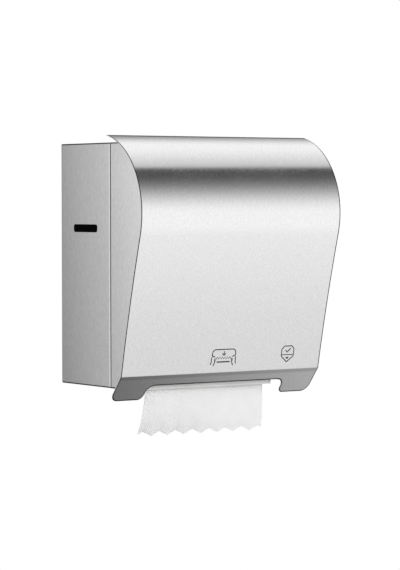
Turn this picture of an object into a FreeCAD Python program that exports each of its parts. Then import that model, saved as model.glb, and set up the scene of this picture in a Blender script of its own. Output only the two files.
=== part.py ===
import FreeCAD, Part
import math
import os
import types
import Sketcher

# Autocut paper towel dispenser: a steel wall casing, an S-shaped steel cover on hinges under its top lip,
# and a drum mechanism that feeds the towel and cuts it with a knife inside the drum.
# Millimetres. X runs to the right as seen from the front and Z up. The wall is at Y = 0, the front at -Y.
# The origin is the centre of the four wall screws, on the back of the casing. Below, "out" is a distance
# from the wall and "up" a height above the casing's bottom edge.

SIZES = {
    # what the dispenser is sized round
    "towel_width": 200.0,
    "roll_radius": 90.0,
    "drum_radius": 40.0,
    "casing_depth": 124.0,
    # rear casing, bent from sheet steel
    "casing_side_room": 64.0,
    "casing_sheet": 1.0,
    "casing_bend": 1.6,
    "casing_lip": 8.0,
    "exit_room": 16.0,
    "exit_side_clear": 2.0,
    "screw_edge_x": 19.0,
    "screw_edge_z": 49.5,
    "screw_hole_radius": 3.0,
    # slot in the left side that shows how much paper is left
    "window_length": 60.0,
    "window_height": 10.8,
    "window_corner": 3.5,
    "window_out": 63.0,
    "window_below_roll": 16.2,
    "window_rim": 4.0,
    "window_thick": 1.5,
    # cover: a crown arc, a long shallow sweep and a chin that is bent back
    "cover_overlap": 1.0,
    "cover_sheet": 1.0,
    "cheek_sheet": 1.0,
    "cheek_inset": 1.0,
    "cheek_flange": 10.0,
    "flange_drop": 9.0,
    "seam_gap": 2.4,
    "crown_room": 17.0,
    "crown_back": 2.0,
    "crown_rise": 12.5,
    "tip_drop": 2.3,
    "sweep_radius": 2500.0,
    "chin_depth": 28.0,
    "bend_up": 16.0,
    "lip_drop": 18.2,
    "lip_corner": 11.0,
    "cutout_room": 13.5,
    "cutout_up": 1.6,
    "cutout_inner_corner": 11.0,
    "cutout_outer_corner": 8.0,
    # cover hinges on top of the casing
    "hinge_edge": 64.0,
    "hinge_length": 60.0,
    "hinge_leaf": 1.5,
    "hinge_cover_leaf": 1.2,
    "hinge_leaf_width": 24.0,
    "knuckle_radius": 3.8,
    "knuckle_bite": 0.5,
    "knuckle_clear": 0.5,
    "hinge_pin_radius": 2.0,
    "running_gap": 0.05,
    "side_play": 0.2,
    # cam lock in the casing's bottom
    "lock_to_front": 15.0,
    "lock_barrel_radius": 8.0,
    "lock_rim_radius": 10.0,
    "lock_rim": 1.5,
    "lock_barrel_up": 5.0,
    "lock_nut_radius": 11.0,
    "lock_nut_height": 3.0,
    "lock_nut_gap": 2.0,
    "lock_plug_radius": 5.0,
    "lock_spindle_radius": 3.0,
    "lock_cam_width": 6.0,
    "lock_cam_length": 22.0,
    "lock_cam_thick": 2.0,
    "lock_cam_gap": 0.3,
    "key_width": 1.2,
    "key_length": 6.0,
    "key_depth": 4.0,
    "striker_sheet": 1.5,
    "striker_width": 10.0,
    "striker_gap": 3.0,
    "striker_play": 1.5,
    "striker_over_cam": 2.2,
    "striker_tab": 13.0,
    "striker_depth": 10.0,
    # mechanism frame
    "plate_sheet": 3.0,
    "plate_past_drum": 14.0,
    "plate_over_drum": 16.0,
    "plate_corner": 8.0,
    "plate_toe": 18.0,
    "plate_front_low": 26.0,
    "plate_front_high": 28.0,
    "plate_shoulder": 12.0,
    "plate_shoulder_drop": 9.0,
    "plate_top_back": 16.0,
    "plate_window_width": 20.0,
    "plate_window_back": 12.0,
    "plate_window_low": 38.0,
    "plate_window_high": 22.0,
    "plate_window_corner": 6.0,
    "foot_width": 14.0,
    "foot_sheet": 2.5,
    "foot_start": 11.0,
    "foot_end": 8.0,
    "foot_screw_edge": 12.0,
    "frame_screw_radius": 1.9,
    "frame_screw_head": 4.0,
    "frame_screw_head_height": 2.0,
    "tray_back": 12.0,
    "tray_wall": 2.5,
    "tray_floor": 2.0,
    "tray_bend": 3.0,
    "tray_exit_gap": 2.0,
    "tray_over_axis": 28.0,
    "tray_flare": 6.0,
    "tray_flare_height": 8.0,
    "tray_rib": 2.0,
    "tray_rib_reach": 16.0,
    "guide_wall": 2.5,
    "guide_lip_drop": 5.5,
    "guide_lip_margin": 4.0,
    "guide_lip_shoulder": 7.0,
    "guide_foot": 41.0,
    "guide_knee": 20.0,
    "guide_head": 26.0,
    "guide_top": 38.0,
    "guide_lean": 7.0,
    "guide_slant": 0.8,
    "guide_bend": 10.0,
    "guide_rib": 1.6,
    "guide_rib_proud": 1.2,
    "guide_rib_edge": 12.0,
    "guide_rib_short": 6.0,
    "towel_to_guide": 2.8,
    "guide_to_drum": 11.0,
    # drum
    "drum_to_front": 8.0,
    "drum_to_floor": 16.0,
    "drum_side_room": 8.0,
    "band_thick": 1.2,
    "band_width": 24.0,
    "band_margin": 4.0,
    "band_fit": 0.1,
    "drum_wall": 2.3,
    "drum_end_thick": 3.0,
    "drum_spigot": 4.0,
    "spigot_gap": 0.1,
    "drum_slot_half": 13.5,
    "drum_slot_margin": 5.0,
    "shaft_radius": 6.0,
    "shaft_end_gap": 1.0,
    "bush_wall": 2.5,
    "bush_flange": 4.5,
    "bush_flange_thick": 1.5,
    "wheel_radius": 22.0,
    "wheel_width": 10.0,
    "wheel_gap": 2.0,
    "wheel_scallop": 3.0,
    "case_radius": 24.0,
    "case_depth": 13.0,
    "case_wall": 1.0,
    "case_lid": 1.5,
    "case_lid_rim": 1.0,
    # knife in the drum, resting over the drum's slot
    "knife_back": 14.0,
    "knife_from_rim": 18.0,
    "knife_lean": 34.0,
    "knife_bar_radius": 5.0,
    "knife_plate": 3.0,
    "knife_plate_reach": 14.0,
    "knife_pin_radius": 2.5,
    "knife_end_gap": 0.5,
    "blade_end_gap": 1.5,
    "blade_reach": 26.5,
    "blade_heel": 4.0,
    "blade_sheet": 1.0,
    "tooth_pitch": 27.2,
    "tooth_depth": 5.8,
    "tooth_shift": 3.6,
    "knife_arm_gap": 1.0,
    "knife_arm_sheet": 3.0,
    "knife_arm_reach": 14.0,
    "knife_arm_angle": 20.0,
    "peg_radius": 3.0,
    "peg_wall": 1.0,
    "peg_room": 5.0,
    "track_side_gap": 0.5,
    "track_clearance": 0.3,
    "track_wall": 2.0,
    "track_height": 1.1,
    "track_nose_radius": 10.0,
    "track_nose_offset": 20.0,
    "track_nose_angle": 40.0,
    # pinch roller that presses the paper on the drum
    "pinch_radius": 8.0,
    "pinch_angle": 130.0,
    "pinch_shaft_radius": 3.0,
    "pinch_arm_back": 22.5,
    "pinch_pivot_drop": 12.0,
    "pinch_arm": 4.0,
    "pinch_arm_gap": 3.0,
    "pinch_boss": 6.0,
    "pinch_bar_back": 5.0,
    "pinch_bar_front": 3.0,
    "pinch_bar_low": 2.0,
    "pinch_bar_thick": 3.0,
    "pinch_sleeve_gap": 16.0,
    # roll of paper, its core and the arms that hold it
    "roll_back_room": 7.0,
    "roll_room": 28.0,
    "roll_headroom": 1.0,
    "core_radius": 20.5,
    "core_wall": 1.5,
    "hub_side_gap": 0.4,
    "hub_flange_rim": 3.5,
    "hub_flange_thick": 4.1,
    "hub_plug": 8.4,
    "hub_plug_gap": 1.5,
    "hub_taper": 3.5,
    "arm_sheet": 3.0,
    "arm_disc": 20.0,
    "arm_heel_half": 15.0,
    "arm_widening": 2.0,
    "arm_web_half": 2.0,
    "arm_pivot_out": 11.0,
    "arm_pivot_room": 7.5,
    "arm_knuckle": 5.0,
    "arm_knuckle_half": 15.7,
    "arm_pin_radius": 2.0,
    "ear_gap": 0.3,
    "ear_sheet": 4.0,
    "ear_half": 6.0,
    "bracket_half": 26.0,
    "bracket_sheet": 2.5,
    "bracket_near": 8.0,
    "bracket_far": 22.0,
    "bracket_corner": 3.0,
    # paper
    "towel_drop": 71.0,
    "towel_straight_up": 10.0,
    "towel_curl": 180.0,
    "paper_thick": 0.4,
    "paper_gap": 0.3,
}

doc = FreeCAD.newDocument("autocut_towel_dispenser")
sheet = doc.addObject("Spreadsheet::Sheet", "sizes")
for row, (alias, number) in enumerate(SIZES.items(), start=1):
    sheet.set(f"A{row}", alias)
    sheet.set(f"B{row}", str(number))
    sheet.setAlias(f"B{row}", alias)
doc.recompute()


class Size:
    """A value with its number and the sheet expression that gives it, so every feature can be bound to it."""

    def __init__(self, text, number):
        self.text = text
        self.number = number

    def __add__(self, other):
        other = size(other)
        return Size(f"({self.text} + {other.text})", self.number + other.number)

    def __sub__(self, other):
        other = size(other)
        return Size(f"({self.text} - {other.text})", self.number - other.number)

    def __mul__(self, other):
        other = size(other)
        return Size(f"({self.text} * {other.text})", self.number * other.number)

    def __truediv__(self, other):
        other = size(other)
        return Size(f"({self.text} / {other.text})", self.number / other.number)

    def __neg__(self):
        return Size(f"(0 - {self.text})", -self.number)

    def __radd__(self, other):
        return size(other) + self

    def __rsub__(self, other):
        return size(other) - self

    def __rmul__(self, other):
        return size(other) * self


def size(value):
    if isinstance(value, Size):
        return value
    return Size(f"({float(value)!r})", float(value))


def root_of(value):
    return Size(f"sqrt({value.text})", math.sqrt(value.number))


def cos_of(degrees):
    return Size(f"cos({degrees.text})", math.cos(math.radians(degrees.number)))


def sin_of(degrees):
    return Size(f"sin({degrees.text})", math.sin(math.radians(degrees.number)))


s = types.SimpleNamespace(**{alias: Size(f"sizes.{alias}", number) for alias, number in SIZES.items()})

# Sizes that follow from those in the sheet. The drum is placed from the casing's front and floor. The frame
# and the casing are sized round the drum, the roll and the towel, and the cover round casing and roll.
s.drum_length = s.towel_width + 2 * s.drum_side_room
s.drum_out = s.casing_depth - s.drum_to_front - s.drum_radius
s.drum_up = s.drum_to_floor + s.drum_radius
s.plate_side = s.drum_length / 2 + s.drum_end_thick + s.knife_arm_gap + s.knife_arm_sheet + s.peg_room
s.plate_front = s.drum_out + s.drum_radius + s.plate_past_drum
s.plate_top = s.drum_up + s.drum_radius + s.plate_over_drum
s.roll_out = s.casing_sheet + s.roll_back_room + s.roll_radius
s.roll_up = s.plate_top + s.roll_room + s.roll_radius
s.casing_width = s.towel_width + 2 * s.casing_side_room
s.casing_height = s.roll_up + s.roll_radius + s.roll_headroom + s.casing_lip
s.mount_up = s.casing_height / 2
s.screw_spacing_x = s.casing_width - 2 * s.screw_edge_x
s.screw_spacing_z = s.casing_height - 2 * s.screw_edge_z
s.exit_back = s.drum_out + s.drum_radius - s.exit_room
s.window_up = s.roll_up - s.window_below_roll
s.cover_width = s.casing_width + 2 * s.cover_overlap
s.crown_radius = s.roll_radius + s.crown_room
s.crown_out = s.roll_out - s.crown_back
s.bend_out = s.casing_depth + s.chin_depth
s.cutout_width = s.towel_width + 2 * s.cutout_room
s.hinge_spacing = s.casing_width - 2 * s.hinge_edge
s.lock_side = s.plate_side + s.plate_sheet + s.lock_nut_radius + s.lock_nut_gap
s.lock_out = s.casing_depth - s.lock_to_front
s.band_pitch = (s.towel_width - 2 * s.band_margin - s.band_width) / 4
s.pinch_sleeve = (s.towel_width - 2 * s.pinch_sleeve_gap) / 3
s.hub_flange = s.core_radius + s.hub_flange_rim
s.hub_plug_radius = s.core_radius - s.core_wall - s.hub_plug_gap
s.arm_pivot_side = s.towel_width / 2 + s.hub_side_gap + s.hub_flange_thick + s.arm_pivot_room

# how far a cutting tool runs past the faces it cuts
PAST = 1.0

nodes = []
cuts = []


def bind(thing, name, value):
    thing.setExpression(name, size(value).text)


def place(thing, x, out, up):
    bind(thing, "Placement.Base.x", x)
    bind(thing, "Placement.Base.y", -size(out))
    bind(thing, "Placement.Base.z", up - s.mount_up)


def keep(name, thing):
    """Marks a finished piece: its label is its name among the written files."""
    thing.Label = name
    nodes.append(thing)
    return thing


def box(name, x, out, up):
    thing = doc.addObject("Part::Box", name)
    bind(thing, "Length", x[1] - x[0])
    bind(thing, "Width", out[1] - size(out[0]))
    bind(thing, "Height", up[1] - size(up[0]))
    place(thing, x[0], out[1], size(up[0]))
    return thing


def cylinder(name, radius, length, turn):
    thing = doc.addObject("Part::Cylinder", name)
    thing.Placement = FreeCAD.Placement(FreeCAD.Vector(0, 0, 0), turn)
    bind(thing, "Radius", radius)
    bind(thing, "Height", length)
    return thing


TO_X = FreeCAD.Rotation(FreeCAD.Vector(0, 1, 0), 90)
TO_FRONT = FreeCAD.Rotation(FreeCAD.Vector(1, 0, 0), 90)
UPRIGHT = FreeCAD.Rotation()


def rod(name, radius, x, at):
    """A round bar across the object, from x[0] to x[1], around the point at = (out, up)."""
    thing = cylinder(name, radius, x[1] - size(x[0]), TO_X)
    place(thing, x[0], at[0], at[1])
    return thing


def post(name, radius, x, out, up):
    """An upright round bar."""
    thing = cylinder(name, radius, up[1] - size(up[0]), UPRIGHT)
    place(thing, x, out, size(up[0]))
    return thing


def stud(name, radius, x, out, up):
    """A round bar that points away from the wall."""
    thing = cylinder(name, radius, out[1] - size(out[0]), TO_FRONT)
    place(thing, x, out[0], up)
    return thing


def cut(name, base, *tools):
    result = base
    for number, tool in enumerate(tools, start=1):
        step = doc.addObject("Part::Cut", f"{name}_cut_{number}")
        step.Base = result
        step.Tool = tool
        cuts.append(step)
        result = step
    return result


def fuse(name, *shapes):
    thing = doc.addObject("Part::MultiFuse", name + "_joined")
    thing.Shapes = list(shapes)
    return thing


def common(name, *shapes):
    thing = doc.addObject("Part::MultiCommon", name + "_overlap")
    thing.Shapes = list(shapes)
    return thing


def group(name, *shapes):
    thing = doc.addObject("Part::Compound", name + "_group")
    thing.Links = list(shapes)
    return thing


def new_sketch(body, role, offset):
    sketch = body.newObject("Sketcher::SketchObject", body.Name + "_outline")
    plane = [feature for feature in body.Origin.OriginFeatures if feature.Role == role][0]
    sketch.AttachmentSupport = [(plane, "")]
    sketch.MapMode = "FlatFace"
    bind(sketch, "AttachmentOffset.Base.z", offset)
    return sketch


def pin_point(sketch, geometry, end, x, y):
    """Binds one end of a line, or a point, to a place given by two sizes."""
    for kind, value in (("DistanceX", size(x)), ("DistanceY", size(y))):
        number = sketch.addConstraint(Sketcher.Constraint(kind, -1, 1, geometry, end, value.number))
        sketch.setExpression(f"Constraints[{number}]", value.text)


def bound(sketch, value, *what):
    number = sketch.addConstraint(Sketcher.Constraint(*what, value.number))
    sketch.setExpression(f"Constraints[{number}]", value.text)


def outline(sketch, corners):
    """Draws a closed outline. Each corner is (x, y) or (x, y, radius), and each is bound to its sizes."""
    count = len(corners)
    points = [FreeCAD.Vector(size(c[0]).number, size(c[1]).number, 0) for c in corners]
    radii = [size(c[2]) if len(c) > 2 else None for c in corners]
    starts, ends, turns = [], [], []
    for i in range(count):
        before = (points[i - 1] - points[i]).normalize()
        after = (points[(i + 1) % count] - points[i]).normalize()
        half = math.acos(max(-1.0, min(1.0, before.dot(after)))) / 2
        reach = radii[i].number / math.tan(half) if radii[i] else 0.0
        ends.append(points[i] + before * reach)
        starts.append(points[i] + after * reach)
        turns.append(before.cross(after).z < 0)
    lines = []
    for i in range(count):
        line = Part.LineSegment(starts[i], ends[(i + 1) % count])
        lines.append(sketch.addGeometry(line, False))
    for i in range(count):
        arriving, leaving = lines[i - 1], lines[i]
        if radii[i] is None:
            sketch.addConstraint(Sketcher.Constraint("Coincident", arriving, 2, leaving, 1))
            pin_point(sketch, leaving, 1, corners[i][0], corners[i][1])
            continue
        corner = sketch.addGeometry(Part.Point(points[i]), True)
        pin_point(sketch, corner, 1, corners[i][0], corners[i][1])
        sketch.addConstraint(Sketcher.Constraint("PointOnObject", corner, 1, arriving))
        sketch.addConstraint(Sketcher.Constraint("PointOnObject", corner, 1, leaving))
        before = (points[i - 1] - points[i]).normalize()
        after = (points[(i + 1) % count] - points[i]).normalize()
        half = math.acos(before.dot(after)) / 2
        middle = (before + after).normalize() * (radii[i].number / math.sin(half))
        centre = points[i] + middle
        first, last = (ends[i], starts[i]) if turns[i] else (starts[i], ends[i])
        angles = [math.atan2(p.y - centre.y, p.x - centre.x) for p in (first, last)]
        circle = Part.Circle(centre, FreeCAD.Vector(0, 0, 1), radii[i].number)
        arc = sketch.addGeometry(Part.ArcOfCircle(circle, angles[0], angles[1]), False)
        first_end, last_end = (1, 2) if turns[i] else (2, 1)
        sketch.addConstraint(Sketcher.Constraint("Tangent", arriving, 2, arc, first_end))
        sketch.addConstraint(Sketcher.Constraint("Tangent", arc, last_end, leaving, 1))
        bound(sketch, radii[i], "Radius", arc)


def extruded(name, role, corners, start, end):
    body = doc.addObject("PartDesign::Body", name)
    sketch = new_sketch(body, role, size(start))
    outline(sketch, corners)
    pad = body.newObject("PartDesign::Pad", name + "_pad")
    pad.Profile = sketch
    bind(pad, "Length", end - size(start))
    return body


def with_radius(corner):
    return (corner[2],) if len(corner) > 2 else ()


def plate(name, x, corners):
    """A plate seen from the side: corners are (out, up) or (out, up, radius)."""
    placed = [(-size(c[0]), c[1] - s.mount_up, *with_radius(c)) for c in corners]
    return extruded(name, "YZ_Plane", placed, x[0], x[1])


def panel(name, out, corners):
    """A panel seen from the front: corners are (x, up) or (x, up, radius)."""
    placed = [(c[0], c[1] - s.mount_up, *with_radius(c)) for c in corners]
    return extruded(name, "XZ_Plane", placed, out[0], out[1])


def slab(name, up, corners):
    """A level slab seen from above: corners are (x, out) or (x, out, radius)."""
    placed = [(c[0], -size(c[1]), *with_radius(c)) for c in corners]
    return extruded(name, "XY_Plane", placed, up[0] - s.mount_up, up[1] - s.mount_up)


def rectangle(x, y, radius=None):
    corner = (radius,) if radius is not None else ()
    return [(x[0], y[0], *corner), (x[1], y[0], *corner), (x[1], y[1], *corner), (x[0], y[1], *corner)]


def link_bar(name, x, ends, radii):
    """A flat link with round ends, between two points (out, up)."""
    (out_a, up_a), (out_b, up_b) = ends
    length = root_of((out_b - out_a) * (out_b - out_a) + (up_b - up_a) * (up_b - up_a))
    along = ((out_b - out_a) / length, (up_b - up_a) / length)
    lean = (radii[0] - radii[1]) / length
    rise = root_of(1 - lean * lean)
    corners = []
    for end, flip in ((0, -1), (0, 1), (1, 1), (1, -1)):
        way_out = along[0] * lean - along[1] * rise * flip
        way_up = along[1] * lean + along[0] * rise * flip
        corners.append((ends[end][0] + way_out * radii[end], ends[end][1] + way_up * radii[end]))
    web = plate(name + "_web", x, corners)
    discs = [rod(f"{name}_end_{i}", radii[i], x, ends[i]) for i in (0, 1)]
    return fuse(name, web, *discs)


def sides():
    return (("left", -1), ("right", 1))


def span(side, near, far):
    """The x range between two distances from the middle, on the left (-1) or right (1) side."""
    near, far = size(near), size(far)
    return (near, far) if side > 0 else (-far, -near)


half_casing = s.casing_width / 2
half_cover = s.cover_width / 2
half_towel = s.towel_width / 2
half_drum = s.drum_length / 2
casing_top = s.casing_height
drum_axis = (s.drum_out, s.drum_up)
roll_axis = (s.roll_out, s.roll_up)


# Rear casing

def make_casing():
    body = doc.addObject("PartDesign::Body", "casing_block")
    sketch = new_sketch(body, "XZ_Plane", size(0))
    outline(sketch, rectangle((-half_casing, half_casing), (-s.mount_up, casing_top - s.mount_up)))
    pad = body.newObject("PartDesign::Pad", "casing_pad")
    pad.Profile = sketch
    bind(pad, "Length", s.casing_depth)
    doc.recompute()
    outer_edges = [f"Edge{number}" for number in range(1, len(pad.Shape.Edges) + 1)]
    bend = body.newObject("PartDesign::Fillet", "casing_bends")
    bend.Base = (pad, outer_edges)
    bind(bend, "Radius", s.casing_bend)

    t = s.casing_sheet
    inner = half_casing - t
    cavity = box("casing_cavity", (-inner, inner), (t, s.casing_depth - t), (t, casing_top - t))
    mouth = half_casing - s.casing_lip
    opening = box("casing_mouth", (-mouth, mouth), (s.casing_depth - t - PAST, s.casing_depth + PAST),
                  (t, casing_top - s.casing_lip))
    exit_half = s.plate_side - s.exit_side_clear
    towel_exit = box("casing_exit", (-exit_half, exit_half), (s.exit_back, s.casing_depth + PAST),
                     (-PAST, t + PAST))
    slot = plate("casing_slot", (-half_casing - PAST, -inner + PAST), window_corners(0, s.window_corner))
    holes = []
    for i, x in enumerate((-s.screw_spacing_x / 2, s.screw_spacing_x / 2)):
        for k, up in enumerate((s.mount_up - s.screw_spacing_z / 2, s.mount_up + s.screw_spacing_z / 2)):
            holes.append(stud(f"wall_hole_{i}{k}", s.screw_hole_radius, x, (-PAST, t + PAST), up))
    lock_hole = post("casing_lock_hole", s.lock_barrel_radius, s.lock_side, s.lock_out, (-PAST, t + PAST))
    keep("casing", cut("casing", body, cavity, opening, towel_exit, slot, lock_hole, *holes))


def window_corners(margin, radius):
    out = (s.window_out - s.window_length / 2 - margin, s.window_out + s.window_length / 2 + margin)
    up = (s.window_up - s.window_height / 2 - margin, s.window_up + s.window_height / 2 + margin)
    return rectangle(out, up, radius)


def make_window():
    inner_face = -half_casing + s.casing_sheet
    pane = plate("window_pane", (inner_face, inner_face + s.window_thick),
                 window_corners(s.window_rim, s.window_corner + s.window_rim))
    boss = plate("window_boss", (-half_casing + s.side_play, inner_face + PAST),
                 window_corners(-s.running_gap, s.window_corner - s.running_gap))
    keep("level_window", fuse("level_window", pane, boss))


# Cover

crown = (s.crown_out, casing_top + s.crown_rise - s.crown_radius)
tip_up = casing_top + s.crown_rise - s.tip_drop


def cover_curve(sketch, hidden):
    """Draws the outer line of the front sheet and the inner line one sheet inside it: crown, sweep and chin.
    Returns the edges of the outer and of the inner line, each in the order crown, sweep, chin."""
    radius, sweep = s.crown_radius.number, s.sweep_radius.number
    centre = FreeCAD.Vector(-crown[0].number, crown[1].number - s.mount_up.number, 0)
    bend = FreeCAD.Vector(-s.bend_out.number, s.bend_up.number - s.mount_up.number, 0)
    lip = FreeCAD.Vector(-s.casing_depth.number, -s.lip_drop.number - s.mount_up.number, 0)
    tip_rise = tip_up.number - crown[1].number
    tip = centre + FreeCAD.Vector(-math.sqrt(radius ** 2 - tip_rise ** 2), tip_rise, 0)
    across = bend - centre
    away = across.Length
    along = ((radius + sweep) ** 2 - sweep ** 2 + away ** 2) / (2 * away)
    beside = math.sqrt((radius + sweep) ** 2 - along ** 2)
    way = FreeCAD.Vector(across).normalize()
    sweep_centre = centre + way * along + FreeCAD.Vector(way.y, -way.x, 0) * beside
    to_sweep = (sweep_centre - centre).normalize()
    chin_way = (lip - bend).normalize()
    inward = FreeCAD.Vector(-chin_way.y, chin_way.x, 0)
    lines = []
    for shift in (0.0, s.cover_sheet.number):
        meet = centre + to_sweep * (radius - shift)
        top = centre + (tip - centre).normalize() * (radius - shift)
        low = bend + inward * shift
        angle = [math.atan2(p.y - centre.y, p.x - centre.x) % (2 * math.pi) for p in (top, meet)]
        up = FreeCAD.Vector(0, 0, 1)
        crown_arc = sketch.addGeometry(
            Part.ArcOfCircle(Part.Circle(centre, up, radius - shift), *angle), hidden)
        angle = [math.atan2(p.y - sweep_centre.y, p.x - sweep_centre.x) for p in (low, meet)]
        sweep_arc = sketch.addGeometry(
            Part.ArcOfCircle(Part.Circle(sweep_centre, up, sweep + shift), *angle), hidden)
        chin = sketch.addGeometry(Part.LineSegment(low, lip + inward * shift), hidden)
        sketch.addConstraint(Sketcher.Constraint("Tangent", crown_arc, 2, sweep_arc, 2))
        sketch.addConstraint(Sketcher.Constraint("Coincident", sweep_arc, 1, chin, 1))
        lines.append((crown_arc, sweep_arc, chin))
        hidden = False
    outer, inner = lines
    pin_point(sketch, outer[0], 3, -crown[0], crown[1] - s.mount_up)
    bound(sketch, s.crown_radius, "Radius", outer[0])
    bound(sketch, s.sweep_radius, "Radius", outer[1])
    bound(sketch, tip_up - s.mount_up, "DistanceY", -1, 1, outer[0], 1)
    pin_point(sketch, outer[2], 1, -s.bend_out, s.bend_up - s.mount_up)
    pin_point(sketch, outer[2], 2, -s.casing_depth, -s.lip_drop - s.mount_up)
    sketch.addConstraint(Sketcher.Constraint("Coincident", outer[0], 3, inner[0], 3))
    sketch.addConstraint(Sketcher.Constraint("Coincident", outer[1], 3, inner[1], 3))
    bound(sketch, s.crown_radius - s.cover_sheet, "Radius", inner[0])
    sketch.addConstraint(Sketcher.Constraint("Parallel", outer[2], inner[2]))
    bound(sketch, s.cover_sheet, "Distance", inner[2], 2, outer[2])
    return outer, inner


def closing_line(sketch, first, first_end, second, second_end, hidden=False):
    points = [sketch.getPoint(first, first_end), sketch.getPoint(second, second_end)]
    line = sketch.addGeometry(Part.LineSegment(*points), hidden)
    sketch.addConstraint(Sketcher.Constraint("Coincident", line, 1, first, first_end))
    sketch.addConstraint(Sketcher.Constraint("Coincident", line, 2, second, second_end))
    return line


def cover_body(name, width, whole):
    """Pads the front sheet itself, or the whole space behind it, across the width."""
    body = doc.addObject("PartDesign::Body", name)
    sketch = new_sketch(body, "YZ_Plane", size(0))
    outer, inner = cover_curve(sketch, whole)
    tip_line = closing_line(sketch, outer[0], 1, inner[0], 1, whole)
    sketch.addConstraint(Sketcher.Constraint("PointOnObject", outer[0], 3, tip_line))
    lip_line = closing_line(sketch, outer[2], 2, inner[2], 2, whole)
    sketch.addConstraint(Sketcher.Constraint("Perpendicular", lip_line, outer[2]))
    if whole:
        closing_line(sketch, inner[0], 1, inner[2], 2)
    pad = body.newObject("PartDesign::Pad", name + "_pad")
    pad.Profile = sketch
    pad.Midplane = True
    bind(pad, "Length", width)
    return body


def make_cover():
    sheet_band = cover_body("cover_band", s.cover_width, False)
    low = -s.lip_drop - PAST / 2
    high = tip_up + PAST
    cut_half = s.cutout_width / 2
    front = panel("cover_front", (0, s.crown_out + s.crown_radius + PAST), [
        (-half_cover, low, s.lip_corner),
        (-cut_half, low, s.cutout_outer_corner),
        (-cut_half, s.cutout_up, s.cutout_inner_corner),
        (cut_half, s.cutout_up, s.cutout_inner_corner),
        (cut_half, low, s.cutout_outer_corner),
        (half_cover, low, s.lip_corner),
        (half_cover, high),
        (-half_cover, high),
    ])
    keep("cover_skin", common("cover_skin", sheet_band, front))

    outer_face = half_cover - s.cheek_inset
    inner_face = outer_face - s.cheek_sheet
    seam = s.casing_depth + s.seam_gap
    for name, side in sides():
        space = cover_body(f"cheek_space_{name}", s.cover_width, True)
        blank = box(f"cheek_blank_{name}", span(side, inner_face, outer_face),
                    (seam, s.crown_out + s.crown_radius), (0, casing_top))
        cheek = common(f"cheek_{name}", space, blank)
        flange = box(f"cheek_flange_{name}", span(side, outer_face - s.cheek_flange, outer_face),
                     (seam, seam + s.cheek_sheet), (s.casing_sheet, casing_top - s.flange_drop))
        keep(f"cover_cheek_{name}", fuse(f"cover_cheek_{name}", cheek, flange))


# Hinges under the cover's top lip

hinge_up = casing_top + s.hinge_leaf + s.knuckle_radius - s.knuckle_bite
crown_inside = s.crown_radius - s.cover_sheet
hinge_away = crown_inside - s.hinge_cover_leaf - s.knuckle_radius + s.knuckle_bite
hinge_rise = hinge_up - crown[1]
hinge_out = crown[0] + root_of(hinge_away * hinge_away - hinge_rise * hinge_rise)
hinge_axis = (hinge_out, hinge_up)


def make_hinges():
    third = s.hinge_length / 4
    bore = s.hinge_pin_radius + s.running_gap
    clear = s.knuckle_radius + s.knuckle_clear
    fixed, moving, pins = [], [], []
    for name, side in sides():
        middle = s.hinge_spacing / 2 * side
        whole = (middle - s.hinge_length / 2, middle + s.hinge_length / 2)
        inside = (middle - third, middle + third)
        leaf = box(f"fixed_leaf_{name}", whole, (hinge_out - s.hinge_leaf_width, hinge_out),
                   (casing_top, casing_top + s.hinge_leaf))
        notch = box(f"leaf_notch_{name}", (inside[0] - s.side_play, inside[1] + s.side_play),
                    (hinge_out - clear, hinge_out + PAST),
                    (casing_top - PAST, casing_top + s.hinge_leaf + PAST))
        knuckles = [
            rod(f"fixed_knuckle_{name}_1", s.knuckle_radius, (whole[0], inside[0] - s.side_play), hinge_axis),
            rod(f"fixed_knuckle_{name}_2", s.knuckle_radius, (inside[1] + s.side_play, whole[1]), hinge_axis),
        ]
        hole = rod(f"fixed_bore_{name}", bore, (whole[0] - PAST, whole[1] + PAST), hinge_axis)
        notched = cut(f"notched_leaf_{name}", leaf, notch)
        fixed.append(cut(f"fixed_side_{name}", fuse(f"fixed_side_{name}", notched, *knuckles), hole))

        ring = cut(f"leaf_ring_{name}", rod(f"leaf_outer_{name}", crown_inside, whole, crown),
                   rod(f"leaf_inner_{name}", crown_inside - s.hinge_cover_leaf, whole, crown))
        reach = (hinge_out + clear, hinge_out + s.hinge_leaf_width)
        wing = common(f"leaf_wing_{name}", ring, box(f"wing_space_{name}", whole, reach, (crown[1], tip_up)))
        tongue_space = box(f"tongue_space_{name}", inside, (hinge_out, reach[0] + PAST), (crown[1], tip_up))
        tongue = common(f"leaf_tongue_{name}", ring, tongue_space)
        knuckle = rod(f"cover_knuckle_{name}", s.knuckle_radius, inside, hinge_axis)
        moving.append(cut(f"cover_side_{name}", fuse(f"cover_side_{name}", wing, tongue, knuckle),
                          rod(f"cover_bore_{name}", bore, (inside[0] - PAST, inside[1] + PAST), hinge_axis)))

        pins.append(rod(f"hinge_pin_{name}", s.hinge_pin_radius, whole, hinge_axis))
    keep("hinge_leaves_fixed", group("hinge_leaves_fixed", *fixed))
    keep("hinge_leaves_cover", group("hinge_leaves_cover", *moving))
    keep("hinge_pins", group("hinge_pins", *pins))


# Cam lock in the casing's bottom, with the striker that it holds

cam_up = (s.lock_barrel_up + s.lock_cam_gap, s.lock_barrel_up + s.lock_cam_gap + s.lock_cam_thick)


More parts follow.
